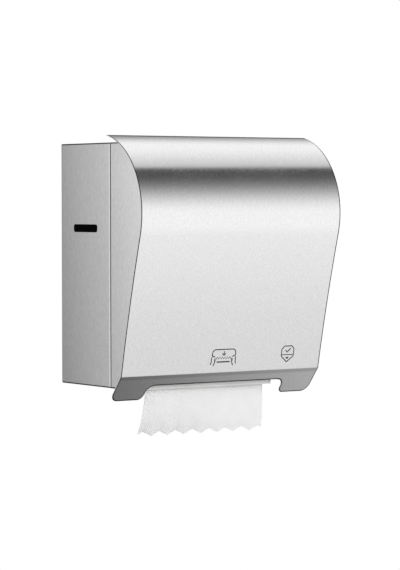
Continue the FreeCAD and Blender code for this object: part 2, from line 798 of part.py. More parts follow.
def make_lock():
    at = (s.lock_side, s.lock_out)
    rim = post("lock_rim", s.lock_rim_radius, *at, (-s.lock_rim, size(0)))
    barrel = post("lock_barrel_wall", s.lock_barrel_radius, *at, (size(0), s.lock_barrel_up))
    bore = post("lock_bore", s.lock_plug_radius + s.running_gap, *at,
                (-s.lock_rim - PAST, s.lock_barrel_up + PAST))
    keep("lock_barrel", cut("lock_barrel", fuse("lock_barrel", rim, barrel), bore))

    nut = doc.addObject("Part::Prism", "lock_nut_prism")
    nut.Polygon = 6
    bind(nut, "Circumradius", s.lock_nut_radius)
    bind(nut, "Height", s.lock_nut_height)
    place(nut, *at, s.casing_sheet)
    thread = post("nut_thread", s.lock_barrel_radius, *at, (size(0), s.lock_barrel_up))
    keep("lock_nut", cut("lock_nut", nut, thread))

    plug = post("plug_body", s.lock_plug_radius, *at, (-s.lock_rim, s.lock_barrel_up))
    spindle = post("plug_spindle", s.lock_spindle_radius, *at,
                   (s.lock_barrel_up, cam_up[1] + s.striker_sheet / 2))
    key = box("key_slot", (s.lock_side - s.key_width / 2, s.lock_side + s.key_width / 2),
              (s.lock_out - s.key_length / 2, s.lock_out + s.key_length / 2),
              (-s.lock_rim - PAST, s.key_depth - s.lock_rim))
    keep("lock_plug", cut("lock_plug", fuse("lock_plug", plug, spindle), key))

    half = s.lock_cam_width / 2
    reach = (s.lock_out - half * 2, s.lock_out + s.lock_cam_length)
    bar = slab("cam_bar", cam_up, rectangle((s.lock_side - half, s.lock_side + half), reach, s.key_width))
    boss = post("cam_boss", s.lock_spindle_radius * 2, *at, cam_up)
    hole = post("cam_hole", s.lock_spindle_radius, *at, (cam_up[0] - PAST, cam_up[1] + PAST))
    keep("lock_cam", cut("lock_cam", fuse("lock_cam", bar, boss), hole))

    cheek_face = half_cover - s.cheek_inset - s.cheek_sheet
    seam = s.casing_depth + s.seam_gap
    front = (seam + s.cheek_sheet + s.side_play, seam + s.cheek_sheet + s.side_play + s.striker_depth)
    tongue_low = s.lock_side + half + s.striker_gap
    hook_front = s.lock_out - half - s.striker_play
    over = (cam_up[1] + s.striker_over_cam, cam_up[1] + s.striker_over_cam + s.striker_sheet)
    strip = box("striker_strip", (tongue_low, cheek_face), front, over)
    tongue = box("striker_tongue", (tongue_low, tongue_low + s.striker_width),
                 (hook_front - s.striker_sheet, front[1]), over)
    hook = box("striker_hook", (tongue_low, tongue_low + s.striker_width),
               (hook_front - s.striker_sheet, hook_front),
               (s.lock_barrel_up + s.side_play, over[1]))
    tab = box("striker_tab", (cheek_face - s.striker_sheet, cheek_face), front,
              (over[0], over[0] + s.striker_tab))
    keep("lock_striker", fuse("lock_striker", strip, tongue, hook, tab))


# Frame of the mechanism

nip_distance = s.drum_radius + s.paper_gap * 2 + s.paper_thick + s.pinch_radius
pinch_axis = (s.drum_out + cos_of(s.pinch_angle) * nip_distance,
              s.drum_up + sin_of(s.pinch_angle) * nip_distance)
pinch_pivot = (pinch_axis[0] - s.pinch_arm_back, s.plate_top - s.pinch_pivot_drop)
plate_outer = s.plate_side + s.plate_sheet
towel_front = s.drum_out + s.drum_radius + s.paper_gap + s.paper_thick
guide_low_out = towel_front + s.towel_to_guide
guide_high_out = s.drum_out + s.drum_radius + s.guide_to_drum


def frame_screw(name, x, seat, up):
    shank = stud(f"{name}_shank", s.frame_screw_radius, x, (s.casing_sheet, seat), up)
    head = stud(f"{name}_head", s.frame_screw_head, x, (seat, seat + s.frame_screw_head_height), up)
    return fuse(name, shank, head)


def make_side_plates():
    screws = []
    base = s.casing_sheet
    foot = (base + s.foot_start, s.plate_top - s.foot_end)
    corner = s.plate_corner
    for name, side in sides():
        x = span(side, s.plate_side, plate_outer)
        web = plate(f"plate_web_{name}", x, [
            (base, base),
            (s.plate_front - s.plate_toe, base, corner),
            (s.plate_front, s.drum_up - s.plate_front_low, corner),
            (s.plate_front, s.drum_up + s.plate_front_high, corner),
            (s.plate_front - s.plate_shoulder, s.plate_top - s.plate_shoulder_drop, corner),
            (s.drum_out - s.plate_top_back, s.plate_top, corner),
            (base, s.plate_top),
        ])
        flange = box(f"plate_foot_{name}", span(side, plate_outer, plate_outer + s.foot_width),
                     (base, base + s.foot_sheet), foot)
        past = span(side, s.plate_side - PAST, plate_outer + PAST)
        bush_hole = rod(f"bush_hole_{name}", s.shaft_radius + s.running_gap + s.bush_wall, past, drum_axis)
        pivot_hole = rod(f"pivot_hole_{name}", s.knife_pin_radius + s.running_gap, past, pinch_pivot)
        window = plate(f"plate_window_{name}", past, rectangle(
            (base + s.plate_window_back, base + s.plate_window_back + s.plate_window_width),
            (s.drum_up - s.plate_window_low, s.drum_up + s.plate_window_high), s.plate_window_corner))
        tools = [bush_hole, pivot_hole, window]
        screw_x = (plate_outer + s.foot_width / 2) * side
        for k, up in enumerate((foot[0] + s.foot_screw_edge, foot[1] - s.foot_screw_edge)):
            tools.append(stud(f"foot_hole_{name}_{k}", s.frame_screw_radius, screw_x,
                              (0, base + s.foot_sheet + PAST), up))
            screws.append(frame_screw(f"plate_screw_{name}_{k}", screw_x, base + s.foot_sheet, up))
        keep(f"side_plate_{name}", cut(f"side_plate_{name}", fuse(f"side_plate_{name}", web, flange), *tools))
    keep("plate_screws", group("plate_screws", *screws))


def make_tray():
    x = (-s.plate_side, s.plate_side)
    base = s.casing_sheet
    back = s.tray_back
    front = s.exit_back - s.tray_exit_gap
    top = s.drum_up + s.tray_over_axis
    flare = top - s.tray_flare_height
    profile = plate("tray_profile", x, [
        (back, base, s.tray_bend),
        (front, base),
        (front, base + s.tray_floor),
        (back + s.tray_wall, base + s.tray_floor, s.tray_bend),
        (back + s.tray_wall, flare, s.tray_flare),
        (back + s.tray_wall - s.tray_flare, top),
        (back - s.tray_flare, top),
        (back, flare, s.tray_flare + s.tray_wall),
    ])
    ribs = []
    count = 7
    pitch = (s.plate_side * 2 - s.tray_rib * 4) / (count - 1)
    corner = (back + s.tray_wall, base + s.tray_floor)
    for i in range(count):
        middle = s.tray_rib * 2 - s.plate_side + pitch * i
        ribs.append(plate(f"tray_rib_{i}", (middle - s.tray_rib / 2, middle + s.tray_rib / 2), [
            (corner[0] - PAST, corner[1] - PAST),
            (corner[0] + s.tray_rib_reach, corner[1] - PAST),
            (corner[0] - PAST, corner[1] + s.tray_rib_reach * 2),
        ]))
    keep("rear_tray", fuse("rear_tray", profile, *ribs))


def make_front_guide():
    x = (-s.plate_side, s.plate_side)
    w = s.guide_wall
    low, high = guide_low_out, guide_high_out
    foot, knee = s.drum_up - s.guide_foot, s.drum_up - s.guide_knee
    head, top = s.drum_up + s.guide_head, s.drum_up + s.guide_top
    bend, slant = s.guide_bend, s.guide_slant
    profile = plate("guide_profile", x, [
        (low, -s.guide_lip_drop),
        (low, foot, bend),
        (high, knee, bend),
        (high, head, bend),
        (high - s.guide_lean, top),
        (high - s.guide_lean + w, top + slant * 2),
        (high + w, head + slant, bend + w),
        (high + w, knee - slant, bend + w),
        (low + w, foot - slant, bend + w),
        (low + w, -s.guide_lip_drop),
    ])
    trims = []
    for name, side in sides():
        beside = span(side, half_towel + s.guide_lip_margin, s.plate_side + PAST)
        trims.append(box(f"guide_trim_{name}", beside, (low - PAST, s.plate_front + PAST),
                         (-s.guide_lip_drop - PAST, foot - s.guide_lip_shoulder)))
    ribs = []
    count = 9
    pitch = (s.plate_side - s.guide_rib_edge) * 2 / (count - 1)
    for i in range(count):
        middle = s.guide_rib_edge - s.plate_side + pitch * i
        ribs.append(box(f"guide_rib_{i}", (middle - s.guide_rib / 2, middle + s.guide_rib / 2),
                        (high + w - PAST, high + w + s.guide_rib_proud),
                        (knee + s.guide_rib_short, head - s.guide_rib_short)))
    keep("front_guide", fuse("front_guide", cut("guide_trimmed", profile, *trims), *ribs))


def make_bushes():
    bushes = []
    bore_radius = s.shaft_radius + s.running_gap
    outer = bore_radius + s.bush_wall
    for name, side in sides():
        inner_end = s.plate_side - s.bush_flange_thick
        past = span(side, inner_end - PAST, plate_outer + PAST)
        sleeve = rod(f"bush_sleeve_{name}", outer, span(side, inner_end, plate_outer), drum_axis)
        flange = rod(f"bush_flange_{name}", bore_radius + s.bush_flange,
                     span(side, inner_end, s.plate_side), drum_axis)
        bore = rod(f"bush_bore_{name}", bore_radius, past, drum_axis)
        bushes.append(cut(f"bush_{name}", fuse(f"bush_{name}", sleeve, flange), bore))
    keep("shaft_bushes", group("shaft_bushes", *bushes))


def make_spring_case():
    base = plate_outer
    case = rod("case_wall", s.case_radius, span(-1, base, base + s.case_depth), drum_axis)
    bore = rod("case_bore", s.shaft_radius + s.running_gap,
               span(-1, base - PAST, base + s.case_depth - s.case_wall), drum_axis)
    keep("spring_case", cut("spring_case", case, bore))
    lid = rod("case_lid", s.case_radius + s.case_lid_rim,
              span(-1, base + s.case_depth, base + s.case_depth + s.case_lid), drum_axis)
    keep("spring_case_lid", lid)


def make_cam_track():
    """A raised wall on the left plate: round, with a nose where it lets the peg out and the knife cuts."""
    x = span(-1, s.plate_side - s.track_height, s.plate_side)
    past = span(-1, s.plate_side - s.track_height - PAST, s.plate_side + PAST)
    nose = (s.drum_out + cos_of(s.track_nose_angle) * s.track_nose_offset,
            s.drum_up + sin_of(s.track_nose_angle) * s.track_nose_offset)
    away = (peg_at[0] - s.drum_out, peg_at[1] - s.drum_up)
    base = root_of(away[0] * away[0] + away[1] * away[1]) + s.peg_radius + s.track_clearance
    wall = s.track_wall
    outside = link_bar("track_outside", x, (drum_axis, nose), (base + wall, s.track_nose_radius + wall))
    inside = link_bar("track_inside", past, (drum_axis, nose), (base, s.track_nose_radius))
    keep("cam_track", cut("cam_track", outside, inside))


# Drum

def slot_tool(name):
    long_half = half_drum - s.drum_slot_margin
    return box(name, (-long_half, long_half), (s.drum_out - s.drum_slot_half, s.drum_out + s.drum_slot_half),
               (s.drum_up - s.drum_radius - PAST, s.drum_up - s.drum_radius / 2))


def make_drum():
    x = (-half_drum, half_drum)
    past = (-half_drum - PAST, half_drum + PAST)
    shell_radius = s.drum_radius - s.band_thick
    inner_radius = shell_radius - s.drum_wall
    keep("drum_shell", cut("drum_shell", rod("drum_wall", shell_radius, x, drum_axis),
                           rod("drum_hollow", inner_radius, past, drum_axis), slot_tool("drum_slot")))
    bands = []
    for i in range(-2, 3):
        middle = s.band_pitch * i
        ring = (middle - s.band_width / 2, middle + s.band_width / 2)
        ring_past = (ring[0] - PAST, ring[1] + PAST)
        bands.append(cut(f"band_{i + 2}", rod(f"band_ring_{i + 2}", s.drum_radius, ring, drum_axis),
                         rod(f"band_hole_{i + 2}", shell_radius + s.band_fit, ring_past, drum_axis),
                         slot_tool(f"band_slot_{i + 2}")))
    keep("drum_grip_bands", group("drum_grip_bands", *bands))
    ends = {"left": plate_outer + s.case_depth - s.case_wall - s.shaft_end_gap,
            "right": plate_outer + s.wheel_gap + s.wheel_width}
    for name, side in sides():
        near, far = half_drum - s.drum_spigot, half_drum + s.drum_end_thick
        disc = rod(f"end_disc_{name}", shell_radius, span(side, half_drum, far), drum_axis)
        spigot = rod(f"end_spigot_{name}", inner_radius - s.spigot_gap,
                     span(side, near, half_drum), drum_axis)
        shaft = rod(f"end_shaft_{name}", s.shaft_radius, span(side, half_drum, ends[name]), drum_axis)
        pin_hole = rod(f"end_pin_hole_{name}", s.knife_pin_radius + s.running_gap,
                       span(side, near - PAST, far + PAST), knife_pivot)
        whole = fuse(f"drum_end_{name}", disc, spigot, shaft)
        keep(f"drum_end_{name}", cut(f"drum_end_{name}", whole, pin_hole))


def make_feed_wheel():
    """A thumb wheel on the drum's right end, with scallops round its rim."""
    body = doc.addObject("PartDesign::Body", "feed_wheel_body")
    start = plate_outer + s.wheel_gap

    def wheel_sketch(name, radius, away):
        sketch = body.newObject("Sketcher::SketchObject", name)
        plane = [feature for feature in body.Origin.OriginFeatures if feature.Role == "YZ_Plane"][0]
        sketch.AttachmentSupport = [(plane, "")]
        sketch.MapMode = "FlatFace"
        bind(sketch, "AttachmentOffset.Base.x", -s.drum_out)
        bind(sketch, "AttachmentOffset.Base.y", s.drum_up - s.mount_up)
        bind(sketch, "AttachmentOffset.Base.z", start)
        centre = FreeCAD.Vector(away.number, 0, 0)
        circle = sketch.addGeometry(Part.Circle(centre, FreeCAD.Vector(0, 0, 1), radius.number), False)
        pin_point(sketch, circle, 3, away, 0)
        bound(sketch, radius, "Radius", circle)
        return sketch

    rim = wheel_sketch("wheel_rim", s.wheel_radius, size(0))
    pad = body.newObject("PartDesign::Pad", "wheel_pad")
    pad.Profile = rim
    bind(pad, "Length", s.wheel_width)
    for name, radius, away in (("wheel_bore", s.shaft_radius, size(0)),
                               ("wheel_scallop", s.wheel_scallop, s.wheel_radius)):
        pocket = body.newObject("PartDesign::Pocket", name + "_pocket")
        pocket.Profile = wheel_sketch(name, radius, away)
        pocket.Type = "ThroughAll"
        pocket.Reversed = True
    pattern = body.newObject("PartDesign::PolarPattern", "wheel_scallops")
    pattern.Originals = [pocket]
    pattern.Axis = (rim, ["N_Axis"])
    pattern.Angle = 360
    pattern.Occurrences = 12
    body.Tip = pattern
    doc.recompute()
    keep("feed_wheel", body)


# Knife

knife_pivot = (s.drum_out - s.knife_back, s.drum_up - s.drum_radius + s.knife_from_rim)
knife_way = (cos_of(s.knife_lean), -sin_of(s.knife_lean))
knife_normal = (sin_of(s.knife_lean), cos_of(s.knife_lean))
peg_at = (knife_pivot[0] + cos_of(s.knife_arm_angle) * s.knife_arm_reach,
          knife_pivot[1] + sin_of(s.knife_arm_angle) * s.knife_arm_reach)


def from_pivot(along, across):
    return (knife_pivot[0] + knife_way[0] * along + knife_normal[0] * across,
            knife_pivot[1] + knife_way[1] * along + knife_normal[1] * across)


def zigzag(low, high, base, depth):
    """Corners of a toothed edge from x = low to x = high: points reach base + depth, notches base."""
    corners = []
    half_pitch = s.tooth_pitch / 2
    first = math.ceil((low.number - s.tooth_shift.number) / half_pitch.number)
    last = math.floor((high.number - s.tooth_shift.number) / half_pitch.number)
    for i in range(first, last + 1):
        x = s.tooth_shift + half_pitch * i
        if low.number < x.number < high.number:
            corners.append((x, base + depth if i % 2 == 0 else base + size(0)))
    for x, place_first in ((low, True), (high, False)):
        steps = (x.number - s.tooth_shift.number) / half_pitch.number
        whole = math.floor(steps)
        part = (x - s.tooth_shift) / half_pitch - whole
        rising = whole % 2 != 0
        end = (x, base + depth * part if rising else base + depth * (1 - part))
        if place_first:
            corners.insert(0, end)
        else:
            corners.append(end)
    return corners


def make_knife():
    bar_half = half_drum - s.drum_spigot - s.knife_end_gap
    blade_half = bar_half - s.blade_end_gap
    bar = rod("knife_bar", s.knife_bar_radius, (-bar_half, bar_half), knife_pivot)
    half = s.knife_plate / 2
    seat = plate("knife_seat", (-blade_half, blade_half), [
        from_pivot(0, -half), from_pivot(s.knife_plate_reach, -half),
        from_pivot(s.knife_plate_reach, half), from_pivot(0, half),
    ])
    end_face = half_drum + s.drum_end_thick
    arm_near = end_face + s.knife_arm_gap
    arm_far = arm_near + s.knife_arm_sheet
    pins = [rod("knife_pin_left", s.knife_pin_radius, span(-1, bar_half - PAST, arm_far), knife_pivot),
            rod("knife_pin_right", s.knife_pin_radius, span(1, bar_half - PAST, end_face), knife_pivot)]
    blade_space = plate("blade_space", (-half_drum, half_drum), [
        from_pivot(s.blade_heel, half), from_pivot(s.blade_reach, half),
        from_pivot(s.blade_reach, half + s.blade_sheet), from_pivot(s.blade_heel, half + s.blade_sheet),
    ])
    keep("knife_carrier", cut("knife_carrier", fuse("knife_carrier", bar, seat, *pins), blade_space))

    blade = doc.addObject("PartDesign::Body", "knife_blade_body")
    sketch = new_sketch(blade, "XY_Plane", -half - s.blade_sheet)
    teeth = zigzag(-blade_half, blade_half, s.blade_reach - s.tooth_depth, s.tooth_depth)
    outline(sketch, [(blade_half, s.blade_heel), *reversed(teeth), (-blade_half, s.blade_heel)])
    pad = blade.newObject("PartDesign::Pad", "blade_pad")
    pad.Profile = sketch
    bind(pad, "Length", s.blade_sheet)
    half_turn = FreeCAD.Rotation(FreeCAD.Vector(1, 0, 0), 180)
    blade.Placement = FreeCAD.Placement(FreeCAD.Vector(0, 0, 0), half_turn)
    bind(blade, "Placement.Rotation.Angle", 180 + s.knife_lean)
    place(blade, 0, *knife_pivot)
    keep("knife_blade", blade)

    arm = link_bar("knife_arm_link", span(-1, arm_near, arm_far), (knife_pivot, peg_at),
                   (s.knife_bar_radius, s.peg_radius + s.peg_wall))
    peg_end = s.plate_side - s.track_height - s.track_side_gap
    peg = rod("knife_peg", s.peg_radius, span(-1, arm_near, peg_end), peg_at)
    pin_seat = rod("arm_pin_seat", s.knife_pin_radius, span(-1, arm_near - PAST, arm_far + PAST), knife_pivot)
    keep("knife_arm", cut("knife_arm", fuse("knife_arm", arm, peg), pin_seat))


# Pinch roller

def make_pinch():
    near = s.plate_side - s.pinch_arm_gap - s.pinch_arm
    far = s.plate_side - s.pinch_arm_gap
    pieces, bores = [], []
    for name, side in sides():
        x = span(side, near, far)
        pieces.append(link_bar(f"pinch_arm_{name}", x, (pinch_pivot, pinch_axis),
                               (s.pinch_boss, s.pinch_boss)))
        pieces.append(rod(f"pinch_pin_{name}", s.knife_pin_radius,
                          span(side, far - PAST, plate_outer), pinch_pivot))
        bores.append(rod(f"pinch_bore_{name}", s.pinch_shaft_radius + s.running_gap,
                         span(side, near - PAST, far + PAST), pinch_axis))
    bar_low = pinch_pivot[1] + s.pinch_bar_low
    bar = box("pinch_bar", (-near - PAST, near + PAST),
              (pinch_pivot[0] - s.pinch_bar_back, pinch_pivot[0] + s.pinch_bar_front),
              (bar_low, bar_low + s.pinch_bar_thick))
    keep("pinch_frame", cut("pinch_frame", fuse("pinch_frame", bar, *pieces), *bores))
    keep("pinch_shaft", rod("pinch_shaft_bar", s.pinch_shaft_radius, (-far, far), pinch_axis))
    sleeves = []
    for i in range(3):
        middle = (s.pinch_sleeve + s.pinch_sleeve_gap) * (i - 1)
        ring = (middle - s.pinch_sleeve / 2, middle + s.pinch_sleeve / 2)
        ring_past = (ring[0] - PAST, ring[1] + PAST)
        wall = rod(f"pinch_sleeve_wall_{i}", s.pinch_radius, ring, pinch_axis)
        hole = rod(f"pinch_sleeve_hole_{i}", s.pinch_shaft_radius, ring_past, pinch_axis)
        sleeves.append(cut(f"pinch_sleeve_{i}", wall, hole))
    keep("pinch_rollers", group("pinch_rollers", *sleeves))


# Roll, core, hubs, arms and their brackets

def make_roll():
    x = (-half_towel, half_towel)
    past = (-half_towel - PAST, half_towel + PAST)
    keep("paper_roll", cut("paper_roll", rod("roll_paper", s.roll_radius, x, roll_axis),
                           rod("roll_hole", s.core_radius, past, roll_axis)))
    keep("core_tube", cut("core_tube", rod("core_wall", s.core_radius, x, roll_axis),
                          rod("core_hollow", s.core_radius - s.core_wall, past, roll_axis)))


def make_roll_arms():
    pins = []
    base = s.casing_sheet
    flange_near = half_towel + s.hub_side_gap
    arm_near = flange_near + s.hub_flange_thick
    arm_far = arm_near + s.arm_sheet
    low, high = s.roll_up - s.arm_heel_half, s.roll_up + s.arm_heel_half
    ear_low, ear_high = s.arm_knuckle_half + s.ear_gap, s.arm_knuckle_half + s.ear_gap + s.ear_sheet
    for name, side in sides():
        pivot_x = s.arm_pivot_side * side
        blade = plate(f"arm_blade_{name}", span(side, arm_near, arm_far), [
            (s.arm_pivot_out - s.arm_web_half, low, s.arm_web_half),
            (s.roll_out, low - s.arm_widening),
            (s.roll_out, high + s.arm_widening),
            (s.arm_pivot_out - s.arm_web_half, high, s.arm_web_half),
        ])
        disc = rod(f"arm_disc_{name}", s.arm_disc, span(side, arm_near, arm_far), roll_axis)
        knuckle = post(f"arm_knuckle_{name}", s.arm_knuckle, pivot_x, s.arm_pivot_out,
                       (s.roll_up - s.arm_knuckle_half, s.roll_up + s.arm_knuckle_half))
        web = box(f"arm_web_{name}", span(side, arm_near, s.arm_pivot_side),
                  (s.arm_pivot_out - s.arm_web_half, s.arm_pivot_out + s.arm_web_half), (low, high))
        bore = post(f"arm_bore_{name}", s.arm_pin_radius + s.running_gap, pivot_x, s.arm_pivot_out,
                    (s.roll_up - s.arm_knuckle_half - PAST, s.roll_up + s.arm_knuckle_half + PAST))
        arm = fuse(f"roll_arm_{name}", blade, disc, knuckle, web)
        keep(f"roll_arm_{name}", cut(f"roll_arm_{name}", arm, bore))

        flange = rod(f"hub_flange_{name}", s.hub_flange, span(side, flange_near, arm_near), roll_axis)
        plug = doc.addObject("Part::Cone", f"hub_plug_{name}")
        turn = FreeCAD.Rotation(FreeCAD.Vector(0, 1, 0), -90 * side)
        plug.Placement = FreeCAD.Placement(FreeCAD.Vector(0, 0, 0), turn)
        bind(plug, "Radius1", s.hub_plug_radius)
        bind(plug, "Radius2", s.hub_plug_radius - s.hub_taper)
        bind(plug, "Height", s.hub_plug)
        place(plug, flange_near * side, *roll_axis)
        keep(f"roll_hub_{name}", fuse(f"roll_hub_{name}", flange, plug))

        back = panel(f"bracket_back_{name}", (base, base + s.bracket_sheet), rectangle(
            span(side, s.arm_pivot_side - s.bracket_near, s.arm_pivot_side + s.bracket_far),
            (s.roll_up - s.bracket_half, s.roll_up + s.bracket_half), s.bracket_corner))
        ears = []
        for k, (a, b) in enumerate(((-ear_high, -ear_low), (ear_low, ear_high))):
            across = span(side, s.arm_pivot_side - s.ear_half, s.arm_pivot_side + s.ear_half)
            ears.append(box(f"ear_{name}_{k}", across, (base, s.arm_pivot_out + s.ear_half),
                            (s.roll_up + a, s.roll_up + b)))
        pin_hole = post(f"ear_hole_{name}", s.arm_pin_radius, pivot_x, s.arm_pivot_out,
                        (s.roll_up - ear_high - PAST, s.roll_up + ear_high + PAST))
        bracket = fuse(f"roll_bracket_{name}", back, *ears)
        keep(f"roll_bracket_{name}", cut(f"roll_bracket_{name}", bracket, pin_hole))
        pins.append(post(f"arm_pin_{name}", s.arm_pin_radius, pivot_x, s.arm_pivot_out,
                         (s.roll_up - ear_high, s.roll_up + ear_high)))
    keep("roll_arm_pins", group("roll_arm_pins", *pins))


# Paper between the roll and the drum, and the towel that hangs out

def strip(name, path):
    """A sheet of paper as wide as the roll, along a path of edges drawn at the paper's left edge."""
    thick = s.paper_thick.number
    one_face = Part.Wire(path).makeOffset2D(-thick / 2, 0, False, True, True)
    section = one_face.makeOffset2D(thick, 0, True, True, True)
    if section.ShapeType != "Face":
        section = Part.Face(section.Wires[0])
    thing = doc.addObject("Part::Feature", name)
    thing.Shape = section.extrude(FreeCAD.Vector(s.towel_width.number, 0, 0))
    return thing


def side_point(out, up):
    return FreeCAD.Vector(-half_towel.number, -out, up - s.mount_up.number)


def arc_about(centre, radius, start, end):
    """An arc in the side view, by its angles in degrees from straight out, rising."""
    points = []
    for angle in (start, (start + end) / 2, end):
        turn = math.radians(angle)
        points.append(side_point(centre[0] + radius * math.cos(turn), centre[1] + radius * math.sin(turn)))
    return Part.Arc(*points).toShape()


def make_paper():
    gap = s.paper_gap.number + s.paper_thick.number / 2
    drum = (s.drum_out.number, s.drum_up.number)
    pinch = (pinch_axis[0].number, pinch_axis[1].number)
    roll = (s.roll_out.number, s.roll_up.number)
    roll_reach = s.roll_radius.number + gap
    pinch_reach = s.pinch_radius.number + gap
    away = (pinch[0] - roll[0], pinch[1] - roll[1])
    distance = math.hypot(*away)
    heading = math.degrees(math.atan2(away[1], away[0]))
    lean = math.degrees(math.acos((roll_reach - pinch_reach) / distance))
    touch = heading - lean
    leave = [(c[0] + r * math.cos(math.radians(touch)), c[1] + r * math.sin(math.radians(touch)))
             for c, r in ((roll, roll_reach), (pinch, pinch_reach))]
    nip = s.pinch_angle.number
    free_run = Part.LineSegment(side_point(*leave[0]), side_point(*leave[1])).toShape()
    round_pinch = arc_about(pinch, pinch_reach, touch, nip - 180)
    round_drum = arc_about(drum, s.drum_radius.number + gap, nip, 0)
    keep("paper_web", strip("paper_web_strip", [free_run, round_pinch, round_drum]))

    front = drum[0] + s.drum_radius.number + gap
    curl = s.towel_curl.number
    straight_up = s.towel_straight_up.number
    drop = straight_up + s.towel_drop.number
    swing = math.degrees(math.asin(drop / curl))
    hang = Part.LineSegment(side_point(front, drum[1]), side_point(front, straight_up)).toShape()
    curled = arc_about((front - curl, straight_up), curl, 0, -swing)
    towel = strip("towel_strip", [hang, curled])
    teeth = zigzag(-half_towel, half_towel, s.towel_drop - s.tooth_depth, s.tooth_depth)
    edge = [(x, -down) for x, down in teeth]
    torn = panel("towel_front", (s.casing_sheet, s.casing_depth), [
        *edge, (half_towel, s.drum_up + PAST), (-half_towel, s.drum_up + PAST)])
    keep("towel", common("towel", towel, torn))


make_casing()
make_window()
make_cover()
make_hinges()
make_lock()
make_side_plates()
make_tray()
make_front_guide()
make_bushes()
make_spring_case()
make_cam_track()
make_drum()
make_feed_wheel()
make_knife()
make_pinch()
make_roll()
make_roll_arms()
make_paper()
doc.recompute()

faults = []
for thing in doc.Objects:
    if "Invalid" in thing.State or "Error" in thing.State:
        faults.append(f"{thing.Label}: {thing.State}")
for step in cuts:
    if step.Base.Shape.Volume - step.Shape.Volume < 0.01:
        faults.append(f"{step.Label} cuts nothing from {step.Base.Label}")
for node in nodes:
    if node.Shape.isNull() or not node.Shape.isValid() or not node.Shape.Solids:
        faults.append(f"{node.Label}: no valid solid")
if faults:
    raise SystemExit("\n".join(faults))

os.makedirs("parts", exist_ok=True)
for node in nodes:
    node.Shape.exportStep(f"parts/{node.Label}.step")
    count = len(node.Shape.Solids)
    print(f"{node.Label}: {count} solid{'s' if count > 1 else ''}, {node.Shape.Volume / 1000:.2f} cm3")
print("cover hinge axis: out %.3f, up %.3f" % (hinge_out.number, hinge_up.number))
print("pinch roller axis: out %.3f, up %.3f" % (pinch_axis[0].number, pinch_axis[1].number))
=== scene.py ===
"""Wall-mounted steel towel dispenser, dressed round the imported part.

Metres, in the part's frame: X to the right, -Y out from the wall, Z up, and the origin at the centre
of the wall screws. "out" is the distance from the wall, and "up" the height above the casing's bottom.
"""

import math

import bmesh
import bpy
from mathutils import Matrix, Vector


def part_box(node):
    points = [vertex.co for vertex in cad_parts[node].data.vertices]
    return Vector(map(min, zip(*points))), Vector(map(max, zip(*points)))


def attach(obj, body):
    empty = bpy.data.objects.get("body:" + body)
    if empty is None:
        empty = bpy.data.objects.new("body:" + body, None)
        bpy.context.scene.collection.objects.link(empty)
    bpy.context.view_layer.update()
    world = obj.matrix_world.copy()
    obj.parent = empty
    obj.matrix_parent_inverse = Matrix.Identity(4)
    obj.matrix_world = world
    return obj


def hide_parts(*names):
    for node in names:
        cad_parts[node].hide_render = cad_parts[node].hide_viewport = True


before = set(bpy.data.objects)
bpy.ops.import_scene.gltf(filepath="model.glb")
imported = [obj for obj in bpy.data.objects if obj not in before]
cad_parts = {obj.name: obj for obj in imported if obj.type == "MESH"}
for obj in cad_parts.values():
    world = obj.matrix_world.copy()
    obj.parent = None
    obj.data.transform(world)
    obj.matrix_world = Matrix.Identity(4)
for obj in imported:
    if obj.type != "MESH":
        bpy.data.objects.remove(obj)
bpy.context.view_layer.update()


# Places taken from the frame

casing_low, casing_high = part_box("casing")
skin_low, skin_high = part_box("cover_skin")
roll_low, roll_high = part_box("paper_roll")
core_low, core_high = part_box("core_tube")
drum_low, drum_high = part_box("drum_grip_bands")
pinch_low, pinch_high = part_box("pinch_rollers")

FLOOR_OF_CASE = casing_low.z
CASE_HEIGHT = casing_high.z - casing_low.z
CASE_DEPTH = -casing_low.y
COVER_HALF = skin_high.x
COVER_FRONT = -skin_low.y


def place(x, out, up):
    """A point in the part's frame."""
    return Vector((x, -out, FLOOR_OF_CASE + up))


def box_centre(low, high):
    """The centre of a node's box in the side view, as out and up."""
    return (-(low.y + high.y) / 2, (low.z + high.z) / 2 - FLOOR_OF_CASE)


# Lines in a plane, as (out, up) or (x, up) points with angles in degrees

CORNER_STEPS = 8


def turned(centre, radius, degrees):
    """The point on a circle at an angle."""
    angle = math.radians(degrees)
    return (centre[0] + radius * math.cos(angle), centre[1] + radius * math.sin(angle))


def angle_of(centre, point):
    """The angle at which a point lies from a centre."""
    return math.degrees(math.atan2(point[1] - centre[1], point[0] - centre[0]))


def between(a, b, share):
    """The point that lies a share of the way from a to b."""
    return (a[0] + (b[0] - a[0]) * share, a[1] + (b[1] - a[1]) * share)


def arc(centre, radius, start, end, steps):
    """Points of an arc by its angles, both ends included."""
    return [turned(centre, radius, start + (end - start) * i / steps) for i in range(steps + 1)]


def fillet(corner, before, after, radius, steps=CORNER_STEPS):
    """The arc that rounds a corner between two points, as points."""
    a = (Vector(before) - Vector(corner)).normalized()
    b = (Vector(after) - Vector(corner)).normalized()
    half = a.angle(b) / 2
    centre = Vector(corner) + (a + b).normalized() * (radius / math.sin(half))
    start = angle_of(centre, Vector(corner) + a * (radius / math.tan(half)))
    end = angle_of(centre, Vector(corner) + b * (radius / math.tan(half)))
    turn = (end - start + 180) % 360 - 180
    return arc(centre, radius, start, start + turn, steps)


def rounded(corners, steps=CORNER_STEPS):
    """The outline through (x, up, radius) corners, with each corner that has a radius rounded."""
    points = []
    for i, (x, up, radius) in enumerate(corners):
        before, after = corners[i - 1], corners[(i + 1) % len(corners)]
        if radius:
            points += fillet((x, up), before[:2], after[:2], radius, steps)
        else:
            points.append((x, up))
    return points


def subdivided(points, longest):
    """The same open line with its long stretches cut, so that it can follow the cover."""
    result = []
    for a, b in zip(points, points[1:]):
        pieces = max(1, math.ceil(math.dist(a, b) / longest))
        result += [between(a, b, i / pieces) for i in range(pieces)]
    return result + [points[-1]]


# Cover in the side view: crown arc, shallow sweep and chin, as in the part

